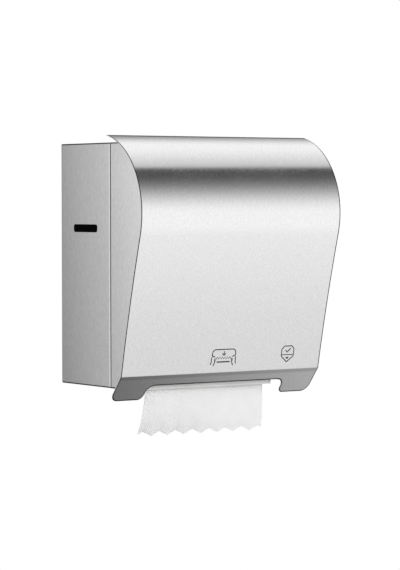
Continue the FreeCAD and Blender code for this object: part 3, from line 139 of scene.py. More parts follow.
CROWN_RADIUS = 0.107
CROWN_RISE = 0.0125
CROWN_STEPS = 34
SWEEP_RADIUS = 2.5
SWEEP_STEPS = 12
CHIN_DEPTH = 0.028
BEND_UP = 0.016
BEND_RADIUS = 0.0022
BEND_STEPS = 6
LIP_DROP = FLOOR_OF_CASE - skin_low.z
LEAST_RISE = 1e-9

crown_centre = (COVER_FRONT - CROWN_RADIUS, CASE_HEIGHT + CROWN_RISE - CROWN_RADIUS)
tip_up = skin_high.z - FLOOR_OF_CASE
bend = (CASE_DEPTH + CHIN_DEPTH, BEND_UP)
lip = (CASE_DEPTH, -LIP_DROP)


def sweep_centre():
    """The centre of the concave sweep, which touches the crown and ends at the bend."""
    across = (bend[0] - crown_centre[0], bend[1] - crown_centre[1])
    away = math.hypot(*across)
    reach = CROWN_RADIUS + SWEEP_RADIUS
    along = (reach**2 - SWEEP_RADIUS**2 + away**2) / (2 * away)
    beside = math.sqrt(reach**2 - along**2)
    way = (across[0] / away, across[1] / away)
    return (
        crown_centre[0] + way[0] * along - way[1] * beside,
        crown_centre[1] + way[1] * along + way[0] * beside,
    )


def cover_profile():
    """The cover's outer line from its tip down to its lip."""
    far = sweep_centre()
    top = math.degrees(math.asin((tip_up - crown_centre[1]) / CROWN_RADIUS))
    meet = angle_of(crown_centre, far)
    low = angle_of(far, bend) % 360
    points = arc(crown_centre, CROWN_RADIUS, top, meet, CROWN_STEPS)
    sweep = arc(far, SWEEP_RADIUS, (meet + 180) % 360, low, SWEEP_STEPS)
    points += sweep[1:-1]
    points += fillet(bend, sweep[-2], lip, BEND_RADIUS, BEND_STEPS)
    points.append(lip)
    return points


profile = cover_profile()


def cover_out(up):
    """How far out the cover's outer face is at a height."""
    for (out_a, up_a), (out_b, up_b) in zip(profile, profile[1:]):
        if up_b <= up <= up_a:
            return out_a + (out_b - out_a) * (up_a - up) / max(up_a - up_b, LEAST_RISE)
    return profile[0][0] if up > profile[0][1] else profile[-1][0]


# Objects

NORMAL_WEIGHT = 80


def new_object(name, data):
    """An object of the scene that shows the data."""
    obj = bpy.data.objects.new(name, data)
    bpy.context.scene.collection.objects.link(obj)
    return obj


def mesh_of(name, bm, smooth):
    """The mesh of a bmesh, which is freed."""
    mesh = bpy.data.meshes.new(name)
    bm.to_mesh(mesh)
    bm.free()
    for polygon in mesh.polygons:
        polygon.use_smooth = smooth
    return mesh


def from_bmesh(name, bm, smooth=True, sharp=35):
    """An object whose faces look outward, with hard edges where they turn by more than "sharp" degrees."""
    bmesh.ops.recalc_face_normals(bm, faces=bm.faces)
    mesh = mesh_of(name, bm, smooth)
    mesh.set_sharp_from_angle(angle=math.radians(sharp))
    return new_object(name, mesh)


def shade_by_area(obj):
    """Shades large faces flat and lets the small ones between them turn."""
    weighted = obj.modifiers.new("shading", "WEIGHTED_NORMAL")
    weighted.keep_sharp = False
    weighted.weight = NORMAL_WEIGHT


# Cover skin: the outline from the front, with the cut-out over the towel

SHEET = 0.001
LIP_CORNER = 0.011
CUTOUT_HALF = 0.1135
CUTOUT_UP = 0.0016
CUTOUT_INNER = 0.011
CUTOUT_OUTER = 0.008
EDGE_BREAK = 0.0003
EDGE_SEGMENTS = 2
EDGE_ANGLE = 50
# The width of a dark band painted along the sheet's outline as shade on its edges.
PAINTED_RIM_WIDTH = 0.0016


def cover_skin():
    """The front sheet: its flat outline cut into rows, laid on the profile and given its thickness."""
    outline = rounded([
        (-COVER_HALF, tip_up, 0),
        (-COVER_HALF, -LIP_DROP, LIP_CORNER),
        (-CUTOUT_HALF, -LIP_DROP, CUTOUT_OUTER),
        (-CUTOUT_HALF, CUTOUT_UP, CUTOUT_INNER),
        (CUTOUT_HALF, CUTOUT_UP, CUTOUT_INNER),
        (CUTOUT_HALF, -LIP_DROP, CUTOUT_OUTER),
        (COVER_HALF, -LIP_DROP, LIP_CORNER),
        (COVER_HALF, tip_up, 0),
    ])
    bm = bmesh.new()
    blank = bm.faces.new([bm.verts.new((x, 0, up)) for x, up in outline])
    blank.normal_update()
    # The band along the outline takes material 1, steel painted almost black as edge shade.
    rim = bmesh.ops.inset_individual(bm, faces=[blank], thickness=PAINTED_RIM_WIDTH, use_even_offset=True)
    for face in rim["faces"]:
        face.material_index = 1
    for _, up in profile[1:-1]:
        whole = bm.verts[:] + bm.edges[:] + bm.faces[:]
        bmesh.ops.bisect_plane(bm, geom=whole, plane_co=(0, 0, up), plane_no=(0, 0, 1))
    for vert in bm.verts:
        vert.co = place(vert.co.x, cover_out(vert.co.z), vert.co.z)
    bmesh.ops.recalc_face_normals(bm, faces=bm.faces)
    if sum(face.normal.y * face.calc_area() for face in bm.faces) > 0:
        bmesh.ops.reverse_faces(bm, faces=bm.faces)
    obj = new_object("cover_sheet", mesh_of("cover_sheet", bm, smooth=True))

    thick = obj.modifiers.new("sheet", "SOLIDIFY")
    thick.thickness = SHEET
    thick.offset = -1
    thick.use_even_offset = True
    thick.material_offset = -1
    thick.material_offset_rim = -1
    broken = obj.modifiers.new("edge", "BEVEL")
    broken.width = EDGE_BREAK
    broken.segments = EDGE_SEGMENTS
    broken.limit_method = "ANGLE"
    broken.angle_limit = math.radians(EDGE_ANGLE)
    shade_by_area(obj)
    return obj


# Printed signs: strokes of ink on the cover

INK_WIDTH = 0.0014
INK_PROUD = 0.00008
INK_SUNK = 0.00012
SLOPE_STEP = 0.0005
LONGEST_STROKE = 0.004


def on_cover(x, up, proud):
    """A point on the cover's face, raised by "proud"."""
    slope = (cover_out(up + SLOPE_STEP) - cover_out(up - SLOPE_STEP)) / (2 * SLOPE_STEP)
    length = math.hypot(1, slope)
    return place(x, cover_out(up) + proud / length, up - proud * slope / length)


def stroke(bm, points, width=INK_WIDTH, closed=False):
    """A printed line through (x, up) points, laid on the cover."""
    count = len(points)
    rings = []
    for i, (x, up) in enumerate(points):
        before = points[i - 1] if closed or i > 0 else points[i]
        after = points[(i + 1) % count] if closed or i < count - 1 else points[i]
        way = Vector((after[0] - before[0], after[1] - before[1]))
        way.normalize()
        side = Vector((-way.y, way.x)) * width / 2
        rings.append([
            bm.verts.new(on_cover(x + side.x, up + side.y, INK_PROUD)),
            bm.verts.new(on_cover(x - side.x, up - side.y, INK_PROUD)),
            bm.verts.new(on_cover(x - side.x, up - side.y, -INK_SUNK)),
            bm.verts.new(on_cover(x + side.x, up + side.y, -INK_SUNK)),
        ])
    pairs = list(zip(rings, rings[1:]))
    if closed:
        pairs.append((rings[-1], rings[0]))
    else:
        bm.faces.new(rings[0])
        bm.faces.new(rings[-1])
    for a, b in pairs:
        for k in range(4):
            bm.faces.new((a[k], a[(k + 1) % 4], b[(k + 1) % 4], b[k]))


# Pull sign: a dispenser's hood and toothed towel, with a hand at each side and an arrow down.
# Its points are shares of its half width and half height.

SIGN_X = -0.0006
SIGN_UP = 0.0369
SIGN_WIDTH = 0.0432
SIGN_HEIGHT = 0.0236
SIGN_TEETH = 6
TEETH_HALF = 0.58
TEETH_TOP = 0.08
TEETH_LOW = -0.2
HAND_BLOB = 0.0017


def pull_sign():
    """The pull sign as one mesh of ink."""
    bm = bmesh.new()

    def at(*points, side=1):
        return [(SIGN_X + side * x * SIGN_WIDTH / 2, SIGN_UP + up * SIGN_HEIGHT / 2) for x, up in points]

    for side in (-1, 1):
        hood_end = at((0.7, 0.94), (0.84, 0.8), (0.9, 0.5), (0.89, 0.26), side=side)
        knuckle = at((0.9, 0.36), (0.88, 0.2), side=side)
        thumb = at((0.87, 0.2), (0.76, 0.12), (0.66, 0.08), side=side)
        outer = at((0.9, 0.1), (0.93, -0.2), (0.92, -0.5), (0.98, -0.8), side=side)
        inner = at((0.66, -0.08), (0.64, -0.35), (0.66, -0.58), (0.76, -0.96), side=side)
        fingers = at((0.68, -0.2), (0.66, -0.42), side=side)
        stroke(bm, hood_end)
        stroke(bm, knuckle, HAND_BLOB)
        stroke(bm, thumb)
        stroke(bm, outer)
        stroke(bm, inner)
        stroke(bm, fingers, HAND_BLOB)
    stroke(bm, subdivided(at((-0.7, 0.94), (0.7, 0.94)), LONGEST_STROKE))
    teeth = []
    for i in range(2 * SIGN_TEETH + 1):
        x = -TEETH_HALF + TEETH_HALF * i / SIGN_TEETH
        teeth.append((x, TEETH_TOP if i % 2 else TEETH_LOW))
    stroke(bm, at(*teeth), INK_WIDTH * 0.7)
    stroke(bm, at((0, 0.72), (0, 0.3)))
    stroke(bm, at((-0.14, 0.46), (0, 0.24), (0.14, 0.46)))
    stroke(bm, subdivided(at((-0.5, -0.52), (0.5, -0.52)), LONGEST_STROKE), INK_WIDTH * 1.3)
    return from_bmesh("pull_sign", bm, smooth=False)


# Badge beside it: a bare shield with a tick, by shares of its half width and half height as well

SHIELD_X = 0.1077
SHIELD_UP = 0.0378
SHIELD_HALF = 0.0104
SHIELD_HEIGHT = 0.0222
SHIELD_CORNER = 0.001
SHIELD_HIP = 0.003
SHIELD_STEPS = 4


def shield_sign():
    """The shield as one mesh of ink."""
    bm = bmesh.new()

    def at(*points):
        return [(SHIELD_X + x * SHIELD_HALF, SHIELD_UP + up * SHIELD_HEIGHT / 2) for x, up in points]

    left = ((-0.6, 1, SHIELD_CORNER), (-1, 0.62, SHIELD_CORNER), (-1, -0.26, SHIELD_HIP))
    right = [(-x, up, radius) for x, up, radius in reversed(left)]
    corners = []
    for x, up, radius in (*left, (0, -1.02, SHIELD_CORNER), *right):
        corners.append((*at((x, up))[0], radius))
    rim = rounded(corners, SHIELD_STEPS)
    stroke(bm, rim, closed=True)
    stroke(bm, subdivided(at((-0.9, -0.1), (0.9, -0.1)), LONGEST_STROKE), INK_WIDTH * 0.8)
    stroke(bm, at((-0.4, 0.5), (-0.1, 0.22), (0.44, 0.7)), INK_WIDTH * 1.2)
    stroke(bm, at((-0.2, -0.42), (0, -0.56), (0.2, -0.42)), INK_WIDTH * 1.6)
    return from_bmesh("shield_sign", bm, smooth=False)


# Paper: the web from the roll round the pinch roller and drum, and the towel that hangs out

TOWEL_WIDTH = roll_high.x - roll_low.x
ROLL_RADIUS = (roll_high.z - roll_low.z) / 2
DRUM_RADIUS = (drum_high.z - drum_low.z) / 2
PINCH_RADIUS = (pinch_high.z - pinch_low.z) / 2
PAPER = 0.0002
PAPER_GAP = 0.0005
NIP = 130  # degrees on the drum at which the pinch roller presses
HANG_UP = 0.01
TOWEL_DROP = 0.071
TOWEL_CURL = 0.18
TOWEL_ASIDE = 0.0025  # drift to the left over the paper's whole length

FREE_STEPS = 10
PINCH_STEPS = 10
DRUM_STEPS = 36
HANG_STEPS = 12
CURL_STEPS = 22

TOOTH_PITCH = 0.0267
TOOTH_DEPTH = 0.0066
TOOTH_SHIFT = 0.001
TOOTH_COLUMNS = 16
COLUMN_MARGIN = 0.3  # share of a step that every column keeps from the side edges
TEAR_POWER = 3

TWIST_BACK = 0.0105
TWIST_POWER = 1.6
TWIST_TOP = 0.0055
RIPPLE = 0.0009
RIPPLE_WAVE = 7  # radians per half width
RIPPLE_START = 1

roll_centre = box_centre(roll_low, roll_high)
drum_centre = box_centre(drum_low, drum_high)
pinch_centre = box_centre(pinch_low, pinch_high)


def paper_path():
    """The paper's line in the side view, from the roll down to the torn edge."""
    roll_reach = ROLL_RADIUS + PAPER_GAP
    pinch_reach = PINCH_RADIUS + PAPER_GAP
    drum_reach = DRUM_RADIUS + PAPER_GAP
    distance = math.dist(roll_centre, pinch_centre)
    heading = angle_of(roll_centre, pinch_centre)
    touch = heading - math.degrees(math.acos((roll_reach - pinch_reach) / distance))
    start = turned(roll_centre, roll_reach, touch)
    end = turned(pinch_centre, pinch_reach, touch)
    free = [between(start, end, i / FREE_STEPS) for i in range(FREE_STEPS)]
    round_pinch = arc(pinch_centre, pinch_reach, touch, NIP - 180, PINCH_STEPS)
    round_drum = arc(drum_centre, drum_reach, NIP, 0, DRUM_STEPS)
    front = (drum_centre[0] + drum_reach, drum_centre[1])
    hang = [between(front, (front[0], HANG_UP), i / HANG_STEPS) for i in range(1, HANG_STEPS + 1)]
    curl = []
    for i in range(1, CURL_STEPS + 1):
        fall = (HANG_UP + TOWEL_DROP) * i / CURL_STEPS
        angle = -math.degrees(math.asin(fall / TOWEL_CURL))
        curl.append(turned((front[0] - TOWEL_CURL, HANG_UP), TOWEL_CURL, angle))
    return free + round_pinch[:-1] + round_drum + hang + curl


def tooth(x):
    """How far the torn edge reaches past its notches, as a share of the teeth's depth."""
    phase = ((x - TOOTH_SHIFT) / (TOOTH_PITCH / 2)) % 2
    return abs(phase - 1)


def towel_columns():
    """The places across the towel of its columns of points, with one on every tip and notch."""
    half = TOWEL_WIDTH / 2
    step = TOOTH_PITCH / TOOTH_COLUMNS
    first = math.ceil((-half - TOOTH_SHIFT) / step + COLUMN_MARGIN)
    last = math.floor((half - TOOTH_SHIFT) / step - COLUMN_MARGIN)
    return [-half] + [TOOTH_SHIFT + step * i for i in range(first, last + 1)] + [half]


def twist(side, hanging):
    """How far the hanging towel stands out of its line, by its place across and down."""
    right = 0.5 + 0.5 * side
    push = TWIST_BACK * hanging**TWIST_POWER * right
    push -= TWIST_TOP * math.sin(math.pi * hanging**0.5) * right
    return push + RIPPLE * math.sin(side * RIPPLE_WAVE + RIPPLE_START) * hanging


def towel_sheet():
    """The paper as one sheet with the torn edge's teeth and a slight twist, and its length."""
    path = paper_path()
    columns = towel_columns()
    drop = HANG_UP - path[-1][1]
    run = [0.0]
    for a, b in zip(path, path[1:]):
        run.append(run[-1] + math.dist(a, b))
    bm = bmesh.new()
    layer = bm.loops.layers.uv.new("UVMap")
    grid = []
    flat = {}
    for (out, up), length in zip(path, run):
        hanging = max(0.0, HANG_UP - up) / drop
        aside = TOWEL_ASIDE * length / run[-1]
        line = []
        for x in columns:
            notch = TOOTH_DEPTH * (1 - tooth(x)) / drop * hanging**TEAR_POWER
            torn = HANG_UP + (up - HANG_UP) * (1 - notch)
            push = twist(x / (TOWEL_WIDTH / 2), hanging)
            vert = bm.verts.new(place(x - aside, out + push, torn))
            flat[vert] = (x, length)
            line.append(vert)
        grid.append(line)
    for upper, lower in zip(grid, grid[1:]):
        for k in range(len(columns) - 1):
            face = bm.faces.new((upper[k], upper[k + 1], lower[k + 1], lower[k]))
            for loop in face.loops:
                loop[layer].uv = flat[loop.vert]
    obj = from_bmesh("towel_paper", bm, sharp=80)
    thick = obj.modifiers.new("thickness", "SOLIDIFY")
    thick.thickness = PAPER
    thick.offset = 0
    shade_by_area(obj)
    return obj, run[-1]


# Roll: its ends step in and out a little from turn to turn, and its rims are rounded

CORE_CLEARANCE = 0.0002
CORE_SET_BACK = 0.0006
FIRST_TURN = 0.0008
LAST_TURN = 0.0012
TURNS = 30
TURN_STEP = 0.0007
RIM_TURN = (0.0003, 0.0004)  # the rim's middle point, in from the side and in from the end
RIM_DEPTH = 0.0016
ROLL_SIDES = 96


def roll_rings():
    """The roll's section as (radius, x) points, from its bore at the left end to its bore at the right."""
    inner = (core_high.z - core_low.z) / 2 + CORE_CLEARANCE
    left = -TOWEL_WIDTH / 2
    first, last = inner + FIRST_TURN, ROLL_RADIUS - LAST_TURN
    rings = [(inner, left + CORE_SET_BACK)]
    for i in range(TURNS + 1):
        rings.append((first + (last - first) * i / TURNS, left + (0.0 if i % 2 else TURN_STEP)))
    rings.append((ROLL_RADIUS - RIM_TURN[0], left + RIM_TURN[1]))
    rings.append((ROLL_RADIUS, left + RIM_DEPTH))
    return rings + [(radius, -x) for radius, x in reversed(rings)]


def roll_of_paper():
    """The wound roll, a solid of revolution with UV in metres round its side."""
    rings = roll_rings()
    bm = bmesh.new()
    layer = bm.loops.layers.uv.new("UVMap")
    loops = []
    for j in range(ROLL_SIDES):
        angle = 360 * j / ROLL_SIDES
        section = []
        for radius, x in rings:
            section.append(bm.verts.new(place(x, *turned(roll_centre, radius, angle))))
        loops.append(section)
    for j in range(ROLL_SIDES):
        a, b = loops[j], loops[(j + 1) % ROLL_SIDES]
        for k in range(len(rings)):
            n = (k + 1) % len(rings)
            face = bm.faces.new((a[k], a[n], b[n], b[k]))
            for loop, (ring, turn) in zip(face.loops, ((k, j), (n, j), (n, j + 1), (k, j + 1))):
                radius, x = rings[ring]
                loop[layer].uv = (x, radius * 2 * math.pi * turn / ROLL_SIDES)
    return from_bmesh("wound_roll", bm, sharp=50)


# Nodes of the materials

MIX_A = 6  # a Mix node's sockets for colours
MIX_B = 7
MIX_RESULT = 2
NOISE = (0.3, 0.7)  # where the values of a fine noise lie, and of a coarse one
CLOUD = (0.35, 0.65)


def bare_material(name):
    """A material with only its output, and that output's surface."""
    material = bpy.data.materials.new(name)
    material.use_nodes = True
    tree = material.node_tree
    tree.nodes.clear()
    output = tree.nodes.new("ShaderNodeOutputMaterial")
    return material, tree, output.inputs["Surface"]


def shader(name):
    """A material with a Principled shader."""
    material, tree, surface = bare_material(name)
    bsdf = tree.nodes.new("ShaderNodeBsdfPrincipled")
    tree.links.new(bsdf.outputs["BSDF"], surface)
    return material, tree, bsdf


def node(tree, kind, values=None, **settings):
    """A node with its settings and the values of its sockets."""
    made = tree.nodes.new(kind)
    for key, value in settings.items():
        setattr(made, key, value)
    for key, value in (values or {}).items():
        made.inputs[key].default_value = value
    return made


def mapped(tree, scale=(1, 1, 1), source="Object"):
    """Coordinates in metres, stretched by "scale"."""
    coordinates = tree.nodes.new("ShaderNodeTexCoord")
    mapping = node(tree, "ShaderNodeMapping", {"Scale": scale})
    tree.links.new(coordinates.outputs[source], mapping.inputs["Vector"])
    return mapping.outputs["Vector"]


def axes(tree, vector):
    """A vector's X, Y and Z."""
    split = tree.nodes.new("ShaderNodeSeparateXYZ")
    tree.links.new(vector, split.inputs["Vector"])
    return split.outputs["X"], split.outputs["Y"], split.outputs["Z"]


def noise_on(tree, vector, detail=2.0, roughness=0.5):
    """Noise whose cells are one unit of the vector wide."""
    made = node(tree, "ShaderNodeTexNoise", {"Scale": 1.0, "Detail": detail, "Roughness": roughness})
    tree.links.new(vector, made.inputs["Vector"])
    return made.outputs["Fac"]


def noise_of(tree, density, detail=2.0, roughness=0.5):
    """Noise in the object's space with so many cells per metre, the same along X, Y and Z or one for each."""
    scale = density if isinstance(density, tuple) else (density, density, density)
    return noise_on(tree, mapped(tree, scale), detail, roughness)


def ranged(tree, value, low, high, to_low=0.0, to_high=1.0):
    """The value's stretch from low to high, stretched to the other two."""
    limits = {"From Min": low, "From Max": high, "To Min": to_low, "To Max": to_high}
    made = node(tree, "ShaderNodeMapRange", limits)
    tree.links.new(value, made.inputs["Value"])
    return made.outputs["Result"]


def faded(tree, value, start, end):
    """0 before the start and 1 from the end on, with a smooth change between them."""
    limits = {"From Min": start, "From Max": end}
    made = node(tree, "ShaderNodeMapRange", limits, interpolation_type="SMOOTHSTEP")
    tree.links.new(value, made.inputs["Value"])
    return made.outputs["Result"]


def math_of(tree, operation, *values):
    """The result of a Math node on numbers or sockets; a third value and more take nodes of their own."""
    made = node(tree, "ShaderNodeMath", operation=operation)
    for socket, value in zip(made.inputs, values[:2]):
        if isinstance(value, (int, float)):
            socket.default_value = value
        else:
            tree.links.new(value, socket)
    result = made.outputs["Value"]
    return math_of(tree, operation, result, *values[2:]) if values[2:] else result


def less(tree, value, share=1.0):
    """1 minus a share of the value."""
    return math_of(tree, "SUBTRACT", 1.0, math_of(tree, "MULTIPLY", value, share))


def tinted(tree, bsdf, value, low, high, dark, light):
    """Base colour from "dark" to "light" as a value goes from low to high, and that colour's socket."""
    made = node(tree, "ShaderNodeMix", {MIX_A: (*dark, 1), MIX_B: (*light, 1)}, data_type="RGBA")
    tree.links.new(ranged(tree, value, low, high), made.inputs["Factor"])
    tree.links.new(made.outputs[MIX_RESULT], bsdf.inputs["Base Color"])
    return made.outputs[MIX_RESULT]


def bumped(tree, bsdf, value, strength, distance):
    """Relief that rises by "distance" as the value goes from 0 to 1."""
    made = node(tree, "ShaderNodeBump", {"Strength": strength, "Distance": distance})
    tree.links.new(value, made.inputs["Height"])
    tree.links.new(made.outputs["Normal"], bsdf.inputs["Normal"])


def grey(level):
    """A grey colour."""
    return (level, level, level)


# Steel: shade is painted in darker lines along the edges of the casing's sides and in the seam behind the
# cheek, as in the photo, and in a strip just under the cover's bend. Pairs say where a change starts and
# ends.

SIDES = (0.0018, 0.0014)
TOP_LINE = 0.002
BOTTOM_LINE = 0.0022
BACK_LINE = 0.0022
BACK_PAINTED_SHADE = 0.42
SEAM_LINE = 0.0003
SEAM_END = 0.0035
LINE_FADE = 0.0004
SEAM_FADE = 0.0002
OUTLINE_PAINTED_SHADE = 0.88
STRIP_TOP = (0.0012, 0.0002)
STRIP_BOTTOM = (-0.006, -0.0035)
STRIP_PAINTED_SHADE = 0.22

SMUDGES = 14
SMUDGE_SPREAD = (-0.015, 0.02)
STREAK_SPREAD = 0.03


def painted_outline_shade(tree):
    """1 on the casing and the cheeks, and less where shade is painted along the edges of their sides and in
    the seam.
    """
    x, y, z = axes(tree, mapped(tree))

    def beyond(value, limit, fade, level=1.0):
        return ranged(tree, value, limit, limit + fade, 0.0, level)

    outward = math_of(tree, "ABSOLUTE", x)
    sides = ranged(tree, outward, casing_high.x - SIDES[0], casing_high.x - SIDES[1])
    top = beyond(z, casing_high.z - TOP_LINE, LINE_FADE)
    bottom = beyond(z, casing_low.z + BOTTOM_LINE, -LINE_FADE)
    back = beyond(y, casing_high.y - BACK_LINE, LINE_FADE, BACK_PAINTED_SHADE)
    # The seam's dark line is a painted shadow in the gap behind the cheek.
    seam_start = beyond(y, casing_low.y + SEAM_LINE, -SEAM_FADE)
    seam_end = beyond(y, casing_low.y - SEAM_END, SEAM_FADE)
    seam = math_of(tree, "MULTIPLY", seam_start, seam_end)
    edges = math_of(tree, "MAXIMUM", top, bottom, seam, back)
    return less(tree, math_of(tree, "MULTIPLY", sides, edges), OUTLINE_PAINTED_SHADE)


def painted_bend_shade(tree):
    """1 on the cover, and a little less on the strip just under its bend, where shade is painted."""
    z = axes(tree, mapped(tree))[2]
    bend_z = FLOOR_OF_CASE + BEND_UP
    above = ranged(tree, z, bend_z + STRIP_TOP[0], bend_z + STRIP_TOP[1])
    below = ranged(tree, z, bend_z + STRIP_BOTTOM[0], bend_z + STRIP_BOTTOM[1])
    return less(tree, math_of(tree, "MULTIPLY", above, below), STRIP_PAINTED_SHADE)


def brushed_steel(name, grain, level=0.89, roughness=0.18, contrast=0.055, shade=None):
    """Brushed steel whose grain runs along the axis with the smallest number, darkened by the painted shade
    that "shade" gives.
    """
    material, tree, bsdf = shader(name)
    bsdf.inputs["Metallic"].default_value = 1.0
    fine = noise_of(tree, grain)
    smudge = noise_of(tree, SMUDGES)
    colour = tinted(tree, bsdf, fine, *NOISE, grey(level - contrast), grey(level + contrast))
    if shade:
        tree.links.new(math_of(tree, "MULTIPLY", colour, shade(tree)), bsdf.inputs["Base Color"])
    streaks = ranged(tree, fine, *NOISE, roughness - STREAK_SPREAD, roughness + STREAK_SPREAD)
    rough = math_of(tree, "ADD", streaks, ranged(tree, smudge, *CLOUD, *SMUDGE_SPREAD))
    tree.links.new(rough, bsdf.inputs["Roughness"])
    bumped(tree, bsdf, fine, 0.15, 0.00001)
    return material


def bright_steel(name):
    """Zinc-plated steel of the inner hardware."""
    material, tree, bsdf = shader(name)
    bsdf.inputs["Metallic"].default_value = 1.0
    fine = noise_of(tree, 900)
    tinted(tree, bsdf, fine, *NOISE, grey(0.55), grey(0.66))
    tree.links.new(ranged(tree, fine, *NOISE, 0.24, 0.38), bsdf.inputs["Roughness"])
    bumped(tree, bsdf, fine, 0.2, 0.00003)
    return material


# Plastics, rubber, paper, board and ink

SPARK_GRAIN = 2200
EMBOSS_PITCH = 0.0037
EMBOSS_LEANS = (-0.75, 1.3)
RINGS_PER_METRE = 420.0
END_EDGE = 0.0018
END_FADE = 0.0004
DULL = 0.15


def plastic(name, dark, light, roughness, depth):
    """Moulded plastic with a fine spark texture and a little unevenness in its colour."""
    material, tree, bsdf = shader(name)
    spark = noise_of(tree, SPARK_GRAIN, 3.0)
    cloud = noise_of(tree, 22)
    tinted(tree, bsdf, cloud, *CLOUD, dark, light)
    rough = ranged(tree, spark, *NOISE, roughness - 0.06, roughness + 0.08)
    tree.links.new(rough, bsdf.inputs["Roughness"])
    bumped(tree, bsdf, spark, 0.35, depth)
    return material


def rubber(name):
    """Dusty black rubber."""
    material, tree, bsdf = shader(name)
    dust = noise_of(tree, 260, 4.0)
    tinted(tree, bsdf, dust, 0.35, 0.75, grey(0.022), grey(0.06))
    bsdf.inputs["Specular IOR Level"].default_value = 0.3
    tree.links.new(ranged(tree, dust, *NOISE, 0.6, 0.78), bsdf.inputs["Roughness"])
    bumped(tree, bsdf, dust, 0.4, 0.00008)
    return material


def smoked(name):
    """The window's pane, which is all but black from outside."""
    material, tree, bsdf = shader(name)
    haze = noise_of(tree, 60, 3.0)
    tinted(tree, bsdf, haze, *NOISE, grey(0.0006), grey(0.0012))
    bsdf.inputs["Specular IOR Level"].default_value = 0.01
    tree.links.new(ranged(tree, haze, *NOISE, 0.35, 0.5), bsdf.inputs["Roughness"])
    return material


def embossing(tree):
    """Two slanting rows of pressed lines that cross, over the paper's own width and length."""
    x, along, _ = axes(tree, mapped(tree, source="UV"))
    waves = []
    for lean in EMBOSS_LEANS:
        slanted = math_of(tree, "ADD", x, math_of(tree, "MULTIPLY", along, lean))
        turn = math_of(tree, "MULTIPLY", slanted, 2 * math.pi / EMBOSS_PITCH)
        waves.append(math_of(tree, "SINE", turn))
    crossed = math_of(tree, "MULTIPLY", *waves)
    return math_of(tree, "ADD", crossed, math_of(tree, "MULTIPLY", waves[0], 0.5))


def embossed_paper(name, level):
    """Soft towel paper: fibres and embossing."""
    material, tree, bsdf = shader(name)
    dots = embossing(tree)
    fibre = noise_of(tree, 900, 4.0, 0.65)
    cloud = noise_of(tree, 45, 3.0)
    pressed = math_of(tree, "ADD", dots, math_of(tree, "MULTIPLY", fibre, 1.6))
    shade = math_of(tree, "ADD", dots, math_of(tree, "MULTIPLY", cloud, 2.0))
    tinted(tree, bsdf, shade, -0.2, 2.2, grey(level - 0.12), grey(level))
    bsdf.inputs["Roughness"].default_value = 0.92
    bsdf.inputs["Specular IOR Level"].default_value = DULL
    bumped(tree, bsdf, pressed, 0.6, 0.0004)
    return material


def from_roll_axis(tree, y, z):
    """The distance from the roll's axis."""
    out = math_of(tree, "ADD", y, roll_centre[0])
    up = math_of(tree, "SUBTRACT", z, roll_centre[1] + FLOOR_OF_CASE)
    squares = (math_of(tree, "MULTIPLY", out, out), math_of(tree, "MULTIPLY", up, up))
    return math_of(tree, "SQRT", math_of(tree, "ADD", *squares))


def wound_paper(name):
    """The roll: embossed round its side, with its turns as fine rings on its ends."""
    material, tree, bsdf = shader(name)
    x, y, z = axes(tree, mapped(tree))
    end = TOWEL_WIDTH / 2 - END_EDGE
    side = ranged(tree, math_of(tree, "ABSOLUTE", x), end - END_FADE, end, 1.0, 0.0)
    dots = math_of(tree, "MULTIPLY", embossing(tree), side)
    turns = node(tree, "ShaderNodeCombineXYZ")
    radius = math_of(tree, "MULTIPLY", from_roll_axis(tree, y, z), RINGS_PER_METRE)
    tree.links.new(radius, turns.inputs["X"])
    level = math_of(tree, "SUBTRACT", noise_on(tree, turns.outputs["Vector"], 5.0, 0.75), 0.5)
    ring = math_of(tree, "MULTIPLY", level, less(tree, side))
    fibre = noise_of(tree, 700, 4.0)
    ring_share = math_of(tree, "MULTIPLY", ring, 6.0)
    shade = math_of(tree, "ADD", ring_share, math_of(tree, "MULTIPLY", dots, 0.4))
    tinted(tree, bsdf, shade, -1.0, 1.0, grey(0.68), grey(0.88))
    bsdf.inputs["Roughness"].default_value = 0.93
    bsdf.inputs["Specular IOR Level"].default_value = DULL
    pressed = math_of(tree, "ADD", shade, math_of(tree, "MULTIPLY", fibre, 0.8))
    bumped(tree, bsdf, pressed, 0.5, 0.0002)
    return material


def cardboard(name):
    """Brown board with fibres along the core."""
    material, tree, bsdf = shader(name)
    fibre = noise_of(tree, (120, 600, 600), 4.0, 0.65)
    tinted(tree, bsdf, fibre, *NOISE, (0.30, 0.21, 0.13), (0.46, 0.35, 0.24))
    bsdf.inputs["Roughness"].default_value = 0.88
    bumped(tree, bsdf, fibre, 0.5, 0.0001)
    return material


def ink(name):
    """Dark printing ink, a little worn."""
    material, tree, bsdf = shader(name)
    worn = noise_of(tree, 1500, 3.0)
    tinted(tree, bsdf, worn, 0.3, 0.75, grey(0.015), grey(0.035))
    tree.links.new(ranged(tree, worn, *NOISE, 0.6, 0.75), bsdf.inputs["Roughness"])
    bsdf.inputs["Specular IOR Level"].default_value = DULL
    return material


# What each slot is made of. The skin's grain follows its profile, and the casing's runs up its sides.

SKIN_GRAIN = (900, 260, 260)
CASING_GRAIN = (900, 900, 170)
PALE = ((0.5, 0.51, 0.52), (0.56, 0.57, 0.58))
DARK = ((0.085, 0.086, 0.09), (0.11, 0.111, 0.116))
WHITE = ((0.74, 0.74, 0.73), (0.8, 0.8, 0.79))

skin_steel = brushed_steel("cover_steel", SKIN_GRAIN, shade=painted_bend_shade)
side_steel = brushed_steel("casing_steel", CASING_GRAIN, level=0.88, contrast=0.06, shade=painted_outline_shade)
